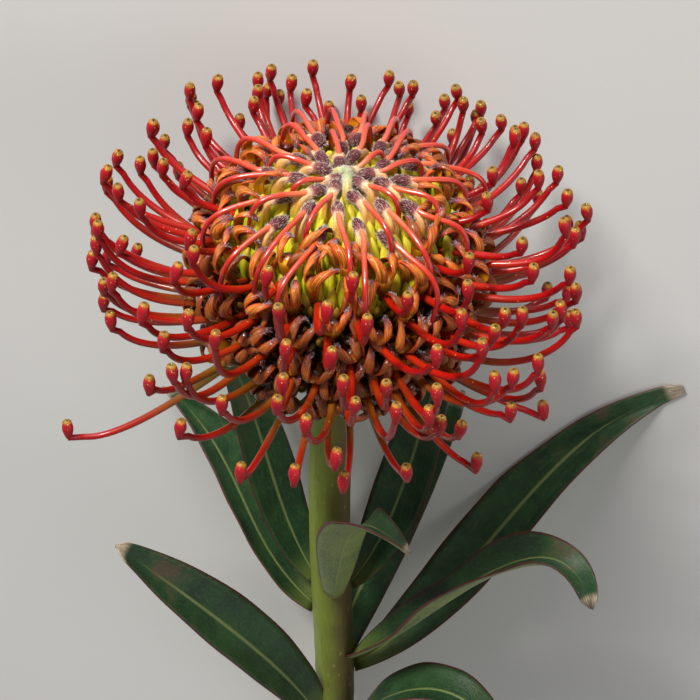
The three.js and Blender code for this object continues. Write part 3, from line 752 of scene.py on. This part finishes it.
def stem_finish():
    """Stem: painted light and shade, lit yellow-green to the left of the view and shaded red-brown to its
    right; paler where cut.
    """
    finish = Finish("stem_green", 0.4, flesh=0.05, depth=0.002)
    up, across, lit, cut = finish.painted("along", "across", "tone", "mark")
    fibre = finish.streaks(up * 10, across * 7, 0, 3, 5, 0.6)
    blotch = finish.noise(finish.place(1, 1, 0.6), 110, 4)
    # Painted light and shade: yellow-green where the stem is painted lit, dark brown where it is painted in
    # shade.
    side = (lit + 0.5 * (blotch - 0.5)).step(0.1, 0.9)
    pith = finish.mix(across.step(0.2, 0.9), 0xe2d6a0, 0xb0b262)
    dots = finish.dots(420, 0.18, 0.1, 0.5)
    colour = finish.over(finish.mix(side, 0x5c4c28, 0x869638), (fibre.step(0.5, 0.7) * 0.4, 0x60622c),
                         (dots * 0.5, 0xb09660), (cut, pith))
    return finish.done(colour, 0.45 + 0.2 * blotch, Normal=finish.bumped(fibre + 0.5 * blotch, 0.5, 0.0004))


def bract_finish():
    finish = Finish("bract_brown_green", 0.35)
    up, across, tone = finish.painted("along", "across", "tone")
    grain = finish.streaks(up * 3, across * 5, tone * 30, 3, 4)
    colour = finish.ramp(up + 0.15 * (grain - 0.5), (0, 0x70783a), (0.6, 0x7a743c), (0.85, 0x7e4e36),
                         (1, 0x5e342c))
    colour = finish.mix(across.size().step(0.75, 1) * 0.6, colour, 0xb09676)
    return finish.done(colour, 0.6 + 0.2 * grain, Normal=finish.bumped(grain, 0.6, 0.0004))


# ---- how a piece is made
class Skin:
    """Gathers closed forms into one mesh; every point has four painted values."""

    PAINTS = ("along", "across", "tone", "mark")

    def __init__(self):
        self.points = []
        self.faces = []

    def add(self, points, faces):
        first = len(self.points)
        self.points.extend((lay(point), paint) for point, paint in points)
        self.faces.extend([first + k for k in face] for face in faces)

    def rings(self, rings):
        """A closed body over rings of points that all run the same way round."""
        count = len(rings[0])
        faces = []
        last = (len(rings) - 1) * count
        for k in range(0, last, count):
            for j in range(count):
                n = (j + 1) % count
                faces.append((k + j, k + n, k + n + count, k + j + count))
        faces.append(tuple(reversed(range(count))))
        faces.append(tuple(range(last, last + count)))
        self.add([point for ring in rings for point in ring], faces)

    def turned(self, profile, sides, up):
        """A form turned round the head's axis: its radius and height, from the foot up."""
        rings = []
        for radius, z in profile:
            ring = [radial(tau * j / sides) * radius + Vector((0, 0, z)) for j in range(sides)]
            rings.append([(leaned(p), (up, 0, 0.5, 0)) for p in ring])
        self.rings(rings)

    def limb(self, path, radii, sides, side, tone, mark=0, shape=None):
        """A round limb along a path; shape(t, angle) makes it thinner or thicker there."""
        rings = []
        for k, point in enumerate(path):
            heading = heading_at(path, k)
            first = square(side, heading)
            second = heading.cross(first)
            t = k / (len(path) - 1)
            ring = []
            for j in range(sides):
                angle = tau * j / sides
                radius = radii[k] * (shape(t, angle) if shape else 1)
                spot = point + first * (radius * cos(angle)) + second * (radius * sin(angle))
                ring.append((spot, (t, abs(2 * j / sides - 1), tone, mark)))
            rings.append(ring)
        self.rings(rings)

    def hair(self, root, direction, length, side, tone):
        """A tapering hair with a slight bend, rooted a little below the surface."""
        direction = direction.normalized()
        start = root - direction * HAIR_ROOT
        bend = start + direction * (HAIR_BEND.along * length) + side * (HAIR_BEND.aside * length)
        tip = start + direction * length + side * (HAIR_BEND.tip * length)
        across = direction.orthogonal().normalized()
        other = direction.cross(across)
        base = []
        middle = []
        for j in range(3):
            angle = tau * j / 3
            out = across * cos(angle) + other * sin(angle)
            base.append((start + out * HAIR_RADIUS, (0, 0, tone, 0)))
            thick = HAIR_BEND.thick * HAIR_RADIUS
            middle.append((bend + out * thick, (HAIR_BEND.along, 0, tone, 0)))
        faces = [(2, 1, 0)]
        for j in range(3):
            n = (j + 1) % 3
            faces.append((j, n, 3 + n, 3 + j))
            faces.append((3 + j, 3 + n, 6))
        self.add(base + middle + [(tip, (1, 0, tone, 0))], faces)

    def piece(self, name, material, slot, *nodes):
        mesh = bpy.data.meshes.new(name)
        mesh.from_pydata([point for point, _ in self.points], [], self.faces)
        mesh.update()
        for n, name_of_paint in enumerate(self.PAINTS):
            layer = mesh.attributes.new(name_of_paint, "FLOAT", "POINT")
            layer.data.foreach_set("value", [paint[n] for _, paint in self.points])
        mesh.polygons.foreach_set("use_smooth", [True] * len(mesh.polygons))
        mesh.materials.append(material)
        made = linked(name, mesh)
        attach(made, "root")
        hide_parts(*nodes)


# ---- the flower head
def on_dome(angle, turn, scale):
    rise = DOME_RISE if angle < pi / 2 else DOME_DROP
    radius = DOME_RADIUS * sin(angle) * scale
    point = radial(turn) * radius
    point.z = DOME_EQUATOR_Z + rise * cos(angle) * scale
    return point


def to_apex(angle, turn):
    """Over the dome towards its apex, from a point on it."""
    return (on_dome(angle - 0.02, turn, 1) - on_dome(angle, turn, 1)).normalized()


def spiral_angle(place):
    return LAST_FLORET_ANGLE * place ** SPIRAL_POWER


def all_florets():
    """The solids' spiral, and further florets in its widest gaps."""
    rng = random.Random(29)
    florets = []
    for index in range(FLORETS):
        florets.append(Floret(index, spiral_angle((index + 0.5) / FLORETS), index * GOLDEN_TURN))
    for n in range(EXTRA_FLORETS):
        best = None
        for _ in range(GAP_TRIES):
            angle = spiral_angle(rng.uniform(*GAP_PLACES))
            turn = rng.uniform(0, tau)
            spot = on_dome(angle, turn, 1)
            room = min((spot - on_dome(f.angle, f.turn, 1)).length for f in florets)
            if best is None or room > best[0]:
                best = (room, angle, turn)
        florets.append(Floret(FLORETS + n, best[1], best[2]))
    return florets


class Floret:
    """One floret, with its own frame on the dome: to the apex, to the side and out."""

    def __init__(self, index, angle, turn):
        self.index = index
        self.angle = angle
        self.turn = turn
        self.open = angle >= OPEN_FROM_ANGLE
        self.low = (angle - OPEN_FROM_ANGLE) / (LAST_FLORET_ANGLE - OPEN_FROM_ANGLE)
        self.tone = 0.5 + 0.5 * scatter(index, 21)
        self.side = sideways(turn)
        self.apex = to_apex(angle, turn)
        self.out = self.side.cross(self.apex)
        if self.out.dot(on_dome(angle, turn, 1) - Vector((0, 0, DOME_EQUATOR_Z))) < 0:
            self.out = -self.out
        # An opened floret stands up more steeply than the dome under it, and is turned about its own length.
        lift = blend(PERIANTH_TURN_UP.top, PERIANTH_TURN_UP.low, max(self.low, 0))
        twist = PERIANTH_TWIST * scatter(index, 22)
        self.grow = self.out * cos(lift) + self.apex * sin(lift)
        fold = self.apex * cos(lift) - self.out * sin(lift)
        self.fold = fold * cos(twist) + self.side * sin(twist)
        self.wing = self.side * cos(twist) - fold * sin(twist)

    def stand(self, rise, inward, across):
        foot = on_dome(self.angle, self.turn, PERIANTH_FOOT_SCALE)
        return foot + self.grow * rise + self.fold * inward + self.wing * across

    def towards(self, up, yaw):
        """A point on the dome's tangent, up towards the apex or yawed beside it."""
        lead = self.apex * cos(yaw) + self.side * sin(yaw)
        return on_dome(self.angle, self.turn, 1) + lead * up


def style_guides(floret):
    """The four guide points of a free style, as in the solids."""
    index = floret.index
    low = floret.low
    root = on_dome(floret.angle + STYLE_ROOT.below, floret.turn, CORE_SCALE - STYLE_ROOT.depth)
    if index == STRAY_FLORET:
        return [root] + [Vector(p) for p in STRAY_PATH]
    tip_turn = floret.turn + TIP_SPREAD.turn * scatter(index, 1)
    tip_radius = along(TIP_RADII, low) + TIP_SPREAD.radius * scatter(index, 2)
    tip = radial(tip_turn) * tip_radius
    tip.z = along(TIP_HEIGHTS, low) + TIP_SPREAD.height * scatter(index, 3) - TIP_FALL * tip.y
    out_rise = blend(STYLE_OUT.top, STYLE_OUT.low, low) + STYLE_OUT_SPREAD.rise * scatter(index, 4)
    out_turn = floret.turn + STYLE_OUT_SPREAD.turn * scatter(index, 6)
    run = STYLE_OUT.share * (tip_radius - hypot(root.x, root.y))
    end_rise = STYLE_END.rise + STYLE_END_SPREAD.rise * scatter(index, 5)
    end_turn = tip_turn + STYLE_END_SPREAD.turn * scatter(index, 7)
    climb = max(STYLE_END.least, STYLE_END.share * (tip.z - root.z))
    drop = climb + STYLE_END_SPREAD.drop * scatter(index, 8)
    out = root + slanted(out_turn, out_rise) * run
    bend = tip - slanted(end_turn, end_rise) * drop + radial(tip_turn) * STYLE_END.bulge
    return [root, out, bend, tip]


def settled(point):
    """A point of the leaning head, kept off the table."""
    return pressed(leaned(point), PRESS_DEPTH)


def free_style(styles, presenters, floret):
    guides = style_guides(floret)
    tip = guides[3]
    heading = bezier_heading(guides, 1)
    neck = tip - heading * PRESENTER_LENGTH
    last = 1
    while (bezier(guides, last) - tip).length < PRESENTER_LENGTH + STYLE_NECK.clear and last > 0.5:
        last -= STYLE_NECK.step
    path = [bezier(guides, last * k / STYLE_STEPS) for k in range(STYLE_STEPS + 1)]
    path.append(neck - heading * STYLE_NECK.back)
    path.append(neck + heading * STYLE_NECK.into)
    radii = []
    for t in shares(len(path) - 1):
        taper = blend(STYLE_TAPER.root, STYLE_TAPER.end, eased(t * STYLE_TAPER.over))
        radii.append(STYLE_RADIUS * (taper - STYLE_TAPER.wave * sin(STYLE_TAPER.waves * t)))
    green = eased((floret.low - GREEN_ROOT.low) / GREEN_ROOT.span)
    styles.limb([settled(p) for p in path], radii, STYLE_SIDES, floret.side, floret.tone, green)
    presenter(presenters, neck, heading, floret)


def presenter(presenters, neck, heading, floret):
    """A club at a style's end, with a cap that folds in along one line."""
    rows = [(t, radius, radius, CAP_PAINT * t) for t, radius in PRESENTER_PROFILE]
    rows += [(t, wide, narrow, 1) for t, wide, narrow in PRESENTER_SLIT]
    path = [settled(neck + heading * (PRESENTER_LENGTH * row[0])) for row in rows]
    forward = (path[len(PRESENTER_PROFILE) - 1] - path[0]).normalized()
    first = square(floret.side, forward)
    second = forward.cross(first)
    rings = []
    for centre, (_, wide, narrow, up) in zip(path, rows):
        ring = []
        for j in range(PRESENTER_SIDES):
            angle = tau * j / PRESENTER_SIDES
            spot = centre + first * (wide * cos(angle)) + second * (narrow * sin(angle))
            ring.append((spot, (up, abs(2 * j / PRESENTER_SIDES - 1), floret.tone, 0)))
        rings.append(ring)
    presenters.rings(rings)


def ribbon(skin, path, widths, side, tone, shine):
    """A channelled strip whose rims turn in to the hollow of its bend."""
    rings = []
    for k, point in enumerate(path):
        t = k / (len(path) - 1)
        heading = heading_at(path, k)
        across = square(side, heading)
        normal = heading.cross(across)
        half = widths[k] / 2
        outer = []
        inner = []
        for s in ARM_CROSS_STEPS:
            rim = point + across * (half * s) + normal * (ARM_CUP * half * s * s)
            thick = normal * (0.5 * ARM_THICKNESS * (1 - ARM_RIM * s * s))
            # A shine of 1 paints the outer face gold as well: partly the segment's own gold, partly a
            # painted highlight.
            outer.append((leaned(rim - thick), (t, s, tone, shine)))
            inner.append((leaned(rim + thick), (t, s, tone, 1)))
        rings.append(inner + outer[::-1])
    skin.rings(rings)


def open_floret(arms, hairs, floret, rng):
    """An opened floret: a saddle, gold on both faces and partly a painted highlight, between arms that hook
    over towards the apex, and a free arm.
    """
    height = rng.uniform(*FLORET_HEIGHT)
    sway = FLORET_SWAY * scatter(floret.index, 11)
    size = rng.uniform(*FLORET_SIZE)
    line = hook(floret, height - SADDLE.lower, SADDLE.radius, SADDLE.arc, SADDLE.inward, 0,
                SADDLE.sway * sway)
    widths = [size * outline(SADDLE_WIDTH, t) for t in shares(ARM_STEPS)]
    # Low on the head the saddle's tone falls: painted shade.
    ribbon(arms, line, widths, floret.wing, rng.random() * blend(1, SADDLE.tone, floret.low), 1)
    free_hand = 1 if scatter(floret.index, 13) > 0 else -1
    for kind, hand in ((SIDE_ARM, -1), (SIDE_ARM, 1), (FREE_ARM, free_hand)):
        top = height + rng.uniform(*kind.rise)
        radius = rng.uniform(*kind.radius)
        arc = rng.uniform(*kind.arc)
        if kind is FREE_ARM:
            aside = FREE_SWAY * hand
        else:
            aside = sway + rng.uniform(-FLORET_SWAY, FLORET_SWAY)
        line = hook(floret, top, radius, arc, kind.inward, kind.aside * hand, aside)
        arm(arms, hairs, line, floret.wing + floret.fold * (kind.lean * hand), floret, size, rng)


def hook(floret, height, radius, arc, inward, hand, sway):
    """A segment's line: up beside the tube to a height, then round in a hook towards the apex."""
    path = []
    for t in shares(ARM_STEPS):
        turn = radians(arc) * max(t - ARM_BEND_FROM, 0) / (1 - ARM_BEND_FROM)
        rise = blend(ARM_ROOT, height, min(t / ARM_BEND_FROM, 1)) + radius * sin(turn)
        aside = blend(ARM_ASIDE.foot, ARM_ASIDE.end, eased(ARM_ASIDE.over * t))
        across = hand * aside + sway * t * t
        path.append(floret.stand(rise, inward + radius * (1 - cos(turn)), across))
    return path


def arm(arms, hairs, line, side, floret, size, rng):
    """One hooked segment with a hairy tip; those low on the head are darker, painted in shade."""
    widths = [size * outline(ARM_WIDTH, t) for t in shares(ARM_STEPS)]
    tone = rng.random() * blend(1, LOW_ARM_SHADE.tone, eased(floret.low / LOW_ARM_SHADE.by))
    ribbon(arms, line, widths, side, tone, 0)
    for _ in range(ARM_HAIRS):
        point, heading, across = part_way(line, rng.uniform(*ARM_HAIR.places), side.normalized())
        outward = across.cross(heading)
        s = rng.uniform(-1, 1)
        root = point + across * (ARM_HAIR.half * s) + outward * ARM_HAIR.lift
        lead = heading * rng.uniform(*ARM_HAIR.along) + outward * rng.uniform(*ARM_HAIR.out)
        lead = lead + across * (ARM_HAIR.aside * s)
        length = rng.uniform(*ARM_HAIR.length)
        hairs.hair(leaned(root), lead, length, across * rng.uniform(-1, 1), rng.random())


def loop_path(floret, yaw):
    """A looped style's line, as in the solids: out from the collar, down and a little back in."""
    index = floret.index
    start = on_dome(floret.angle, floret.turn, 1)
    away = -floret.apex * cos(yaw) - floret.side * sin(yaw)
    normal = (start - Vector((0, 0, LOOP_CENTRE_Z))).normalized()
    away = (away + normal.cross(away) * (LOOP_SPREAD.away * scatter(index, 7))).normalized()
    grown = blend(YOUNG_LOOP, 1, min(index / LOOPS_FULL_FROM, 1))
    reach = grown * (LOOP.reach + LOOP_SPREAD.reach * scatter(index, 8))
    rise = grown * (LOOP.rise + LOOP_SPREAD.rise * scatter(index, 9))
    bow = grown * LOOP_SPREAD.bow * scatter(index, 10)

    def place(t):
        swing = t * LOOP_TURN
        height = LOOP.lift + rise * sin(swing) + LOOP.spring * (1 - t) ** SPRING_POWER
        point = start + away * (LOOP.start + reach * sin(LOOP.curl * swing)) + normal * height
        point = point + floret.side * (bow * sin(pi * t))
        point.z -= grown * LOOP.sink * t ** 3
        return point

    return place


def slit(end):
    """The collar's slit, on its outer side, open as far as `end`, with a raised lip along each edge."""
    def shape(t, angle):
        away = degrees(abs((angle - 1.5 * pi + pi) % tau - pi))
        open_here = eased((t - SLIT.start) / SLIT.opens) * eased((end - t) / SLIT.closes)
        groove = SLIT.depth * exp(-(away / SLIT.width) ** 2)
        lip = SLIT.lip * exp(-((away - SLIT.lip_at) / SLIT.lip_width) ** 2)
        return 1 + open_here * (lip - groove)

    return shape


def closed_floret(limbs, loops, hairs, floret, rng):
    """An unopened floret: an upright tube whose collar and limb bend to the apex, and its looped style."""
    reach = min(BUD_REACH, BUD_LEAST_REACH + DOME_RADIUS * floret.angle) / BUD_REACH
    grown = eased(floret.index / BUD_SIZE.by)
    size = blend(BUD_SIZE.first, 1, grown) * rng.uniform(*BUD_SIZE.spread)
    yaw = BUD_YAW.most * scatter(floret.index, 23) * eased(floret.index / BUD_YAW.by)
    rise = rng.uniform(*BUD_RISE)

    def spot(up, out, drop=0, inward=0):
        # What a floret near the apex can't reach sideways it stands up.
        upright = (1 - reach) * max(up, 0)
        point = floret.towards(up * reach, yaw) + floret.out * (out + rise + upright)
        return point - Vector((0, 0, drop)) - radial(floret.turn) * inward

    knots = [spot(*row) for row in BUD_LINE]
    path = [through(knots, t) for t in shares(BUD_STEPS)]
    radii = [size * outline(BUD_OUTLINE, t) for t in shares(BUD_STEPS)]
    young = 1 - eased((floret.index - 1) / LOOPS_FROM)
    # Near the apex the loop stays longer in its collar.
    shut = 1 - eased((floret.index - LOOPS_FROM) / LOOPS_FULL_FROM)
    looped = floret.index >= LOOPS_FROM
    shape = slit(blend(SLIT_END.open, SLIT_END.shut, shut)) if looped else None
    limbs.limb([leaned(p) for p in path], radii, BUD_SIDES, floret.side, floret.tone, young, shape)
    limb_hairs(hairs, path, radii, floret, rng)
    if not looped:
        return
    place = loop_path(floret, yaw)
    knots = [spot(up, out - LOOP_SUNK * shut) for up, out in LOOP_LEAVES]
    knots += [place(t) + floret.out * (rise * (1 - t)) for t in shares(LOOP_KNOTS)[2:]]
    loop = [leaned(through(knots, t)) for t in shares(LOOP_STEPS)]
    radii = [LOOP_RADIUS * blend(1, LOOP_TAPER, t) for t in shares(LOOP_STEPS)]
    loops.limb(loop, radii, STYLE_SIDES, floret.side, floret.tone)


def limb_hairs(hairs, path, radii, floret, rng):
    """Hairs combed along a limb to its tip, thickest near the tip."""
    for _ in range(LIMB_HAIRS):
        share = blend(*LIMB_HAIR.places, rng.random() ** LIMB_HAIR.crowding)
        point, heading, first = part_way(path, share, floret.side)
        angle = rng.uniform(0, tau)
        out = first * cos(angle) + heading.cross(first) * sin(angle)
        lead = out * rng.uniform(*LIMB_HAIR.out) + heading
        root = leaned(point + out * (along(radii, share) - LIMB_HAIR.sunk))
        hairs.hair(root, lead, rng.uniform(*LIMB_HAIR.length), first * rng.uniform(-1, 1), rng.random())


def packed_tubes(tubes, rng):
    """Floret tubes between the visible ones: an upright lime wall at the apex, short and dark lower down."""
    for n in range(PACKED_TUBES):
        angle = spiral_angle((n + 0.5) / PACKED_TUBES)
        turn = n * GOLDEN_TURN + TUBE_FIRST_TURN
        low = eased((angle - TUBE_SHRINKS.angle) / TUBE_SHRINKS.span)
        top = on_dome(angle, turn, blend(*TUBE_TOPS, low) + rng.uniform(*TUBE_SPREAD.height))
        inward = radial(turn + rng.uniform(*TUBE_SPREAD.turn)) * rng.uniform(*TUBE_SPREAD.inward)
        upright = top + Vector((0, 0, -TUBE_LENGTH)) - inward
        foot = upright.lerp(on_dome(angle + LOW_TUBE_FOOT.below, turn, LOW_TUBE_FOOT.scale), low)
        bend = to_apex(angle, turn) * TUBE_BEND
        path = [leaned(foot.lerp(top, t) + bend * t ** 6) for t in shares(TUBE_STEPS)]
        radii = [blend(*TUBE_RADII, low) * outline(TUBE_OUTLINE, t) for t in shares(TUBE_STEPS)]
        tubes.limb(path, radii, TUBE_SIDES, sideways(turn), rng.random(), low)


def lower_bases(tubes, rng):
    """The tubes' lower ends, which run down the head's underside to its foot."""
    for n in range(LOWER_TUBES):
        turn = tau * n / LOWER_TUBES + rng.uniform(*LOWER_TOP.turn)
        top = (rng.uniform(*LOWER_TOP.radius), rng.uniform(*LOWER_TOP.height))
        knots = [radial(turn) * radius + Vector((0, 0, z)) for radius, z in LOWER_LINE + [top]]
        path = [leaned(through(knots, t)) for t in shares(len(LOWER_RADII) - 1)]
        tubes.limb(path, LOWER_RADII, LOWER_SIDES, sideways(turn), rng.random(), 0.75)


def core_piece():
    """The receptacle, seen only deep between the tubes."""
    scale = CORE_SCALE - CORE_INSET
    profile = [(AT_AXIS, CORE_FOOT_Z), (CORE_FOOT_RADIUS, CORE_FOOT_Z)]
    for slope in range(126, 0, -6):
        point = on_dome(radians(slope), 0, scale)
        profile.append((point.x, point.z))
    profile.append((AT_AXIS, DOME_EQUATOR_Z + DOME_RISE * scale))
    skin = Skin()
    skin.turned(profile, CORE_SIDES, 0.5)
    skin.piece("receptacle_core", core_finish(), "bloom", "flower_head")


def flower_head():
    rng = random.Random(11)
    finishes = {
        "free_styles": style_finish(),
        "pollen_presenters": presenter_finish(),
        "perianth_segments": arm_finish(),
        "closed_florets": limb_finish(),
        "looped_styles": loop_finish(),
        "floret_tubes": tube_finish(),
        "segment_hairs": hair_finish("hair_violet", 0x8c647c, 0xeee2ee),
        "collar_hairs": hair_finish("hair_white", 0xceb2a0, 0xfaf2e8),
    }
    skins = [Skin() for _ in finishes]
    styles, presenters, arms, limbs, loops, tubes, segment_hairs, collar_hairs = skins
    for floret in all_florets():
        if floret.open:
            free_style(styles, presenters, floret)
            open_floret(arms, segment_hairs, floret, rng)
        else:
            closed_floret(limbs, loops, collar_hairs, floret, rng)
    packed_tubes(tubes, rng)
    lower_bases(tubes, rng)
    core_piece()
    for skin, (name, material) in zip(skins, finishes.items()):
        skin.piece(name, material, "bloom", "flower_head")


# ---- involucre and stem
def involucre():
    skin = Skin()
    rng = random.Random(5)
    skin.turned(CUP_PROFILE, CUP_SIDES, 0.3)
    for row in range(BRACT_ROWS):
        for n in range(BRACTS_IN_ROW):
            turn = tau * (n + 0.5 * (row % 2)) / BRACTS_IN_ROW
            bract(skin, turn, row, rng.random())
    skin.piece("involucral_bracts", bract_finish(), "bracts", "involucre")


def bract(skin, turn, row, tone):
    """One small pointed bract that hugs the head's foot."""
    out = radial(turn)
    side = sideways(turn)
    foot = BRACT_FOOT_Z + BRACT_ROW_STEP * row
    leans = (0, -BRACT_LEAN_STEP * row, BRACT_LEAN_STEP * row)
    knots = [out * (r + lean) + Vector((0, 0, foot + z)) for (r, z), lean in zip(BRACT, leans)]
    rings = []
    for t in shares(BRACT_STEPS):
        centre = through(knots, t)
        tapered = eased((t - BRACT_TAPER.start) / (1 - BRACT_TAPER.start))
        half = BRACT_HALF_WIDTH * (1 - tapered * BRACT_TAPER.narrow)
        ring = []
        for s in (1, 0.5, 0, -0.5, -1):
            thick = BRACT_THICKNESS.outer * (1 - s * s)
            ring.append((leaned(centre + side * (half * s) + out * thick), (t, s, tone, 0)))
        for s in (-0.5, 0, 0.5):
            thick = BRACT_THICKNESS.inner - BRACT_THICKNESS.hollow * s * s
            ring.append((leaned(centre + side * (half * s) - out * thick), (t, s, tone, 0)))
        rings.append(ring)
    skin.rings(rings)


def cut_height(point):
    """How high the slanted cut lies at a point of the stem."""
    return -STEM_LENGTH + tan(CUT_SLANT) * point.y


def stem():
    """The stem: faint ridges, a knuckle where each leaf leaves it, and a slanted cut."""
    skin = Skin()
    rng = random.Random(3)
    ridges = [(*ridge, rng.uniform(0, tau)) for ridge in STEM_RIDGES]
    knots = [Vector(p) for p in STEM_LINE]
    knuckles = sorted({leaf.line[0][2] + KNUCKLE.above for leaf in LEAVES})
    rings = []
    for t in shares(STEM_STEPS):
        z = blend(STEM_TOP_Z, STEM_END_Z, t)
        centre = through(knots, t)
        swelling = sum(exp(-((z - place) / KNUCKLE.length) ** 2) for place in knuckles)
        ring = []
        for j in range(STEM_SIDES):
            turn = -tau * j / STEM_SIDES
            radius = STEM_RADIUS - STEM_SINK + KNUCKLE.height * swelling
            for count, height, wind, phase in ridges:
                radius += height * sin(count * turn + phase + wind * z)
            point = radial(turn) * radius + Vector((centre.x, centre.y, z))
            point.z = max(point.z, cut_height(point))
            # Painted light: one side of the stem is painted lit and the opposite side shaded.
            lit = 0.5 + 0.5 * cos(tau * (j / STEM_SIDES + 0.5))
            ring.append((point, (t, abs(2 * j / STEM_SIDES - 1), lit, 0)))
        rings.append(ring)
        if all(p.z <= cut_height(p) + 0.02 for p, _ in ring):
            break
    end = [p for p, _ in rings[-1]]
    centre = sum(end, Vector()) / STEM_SIDES
    for scale, depth in STEM_CUT:
        cut = [centre + (p - centre) * scale + Vector((0, 0, depth)) for p in end]
        rings.append([(p, (1, scale, 0.5, 1)) for p in cut])
    skin.rings(rings)
    skin.piece("cut_stem", stem_finish(), "stem", "stem")


# ---- leaves
def half_width(leaf, t):
    place = (LEAF_OUTLINE.start + LEAF_OUTLINE.span * t) ** LEAF_OUTLINE.skew
    half = leaf.width / 2 * sin(pi * place) ** LEAF_OUTLINE.fullness
    tip = max((t - LEAF_TIP.start) / (1 - LEAF_TIP.start), 0)
    return half * (1 - LEAF_TIP.narrow * tip ** 2)


def lifted(point, least):
    """The point, or the one above it that is `least` over the table."""
    return point + TABLE_UP * max(least - height_over(point), 0)


def leaf_piece(name, leaf, material, tone):
    """A leathery blade, cupped and waved as its solid, with a thinner rim and a raised midrib."""
    guides = [Vector(p) for p in leaf.line]
    start = leaf_start(guides)
    rings = []
    for k in range(LEAF_STEPS + 1):
        t = blend(start, 1, k / LEAF_STEPS)
        middle = bezier(guides, t)
        heading = bezier_heading(guides, t)
        face = square(Vector(leaf.face), heading)
        side = heading.cross(face)
        half = half_width(leaf, t)
        over = []
        under = []
        for j in range(LEAF_STRIPS + 1):
            s = 2 * j / LEAF_STRIPS - 1
            ripple = leaf.wave * sin(tau * leaf.turns * t + WAVE_LAG * s) * s * s
            crimp = CRIMP.height * sin(CRIMP.waves * t + 5 * tone + 2 * s) * abs(s) ** 3
            point = middle + side * (half * s) + face * (leaf.cup * half * s * s + ripple + crimp)
            thick = 0.5 * LEAF_THICKNESS * (1 - LEAF_RIM * s * s)
            rib = MIDRIB.height * exp(-(s / MIDRIB.width) ** 2) * (1 - t)
            over.append((lifted(point + face * (thick - 0.5 * rib), LEAF_LIFT), (t, s, tone, 0)))
            under.append((lifted(point - face * (thick + rib), 0), (t, s, tone, 1)))
        rings.append(under + over[::-1])
    skin = Skin()
    skin.rings(rings)
    skin.piece(name + "_blade", material, "leaf", name)


def leaf_start(guides):
    """How far along its line a leaf comes clear of the stem."""
    t = 0
    while hypot(bezier(guides, t).x, bezier(guides, t).y) < STEM_RADIUS + GAP:
        t += 0.004
    return t


def leaves():
    material = leaf_finish()
    for n, leaf in enumerate(LEAVES):
        leaf_piece(f"leaf_{n + 1:02}", leaf, material, (0.37 * n) % 1)


# ---- the whole
bpy.context.scene.view_settings.view_transform = "Standard"
photo_camera()
studio()
flower_head()
involucre()
stem()
leaves()
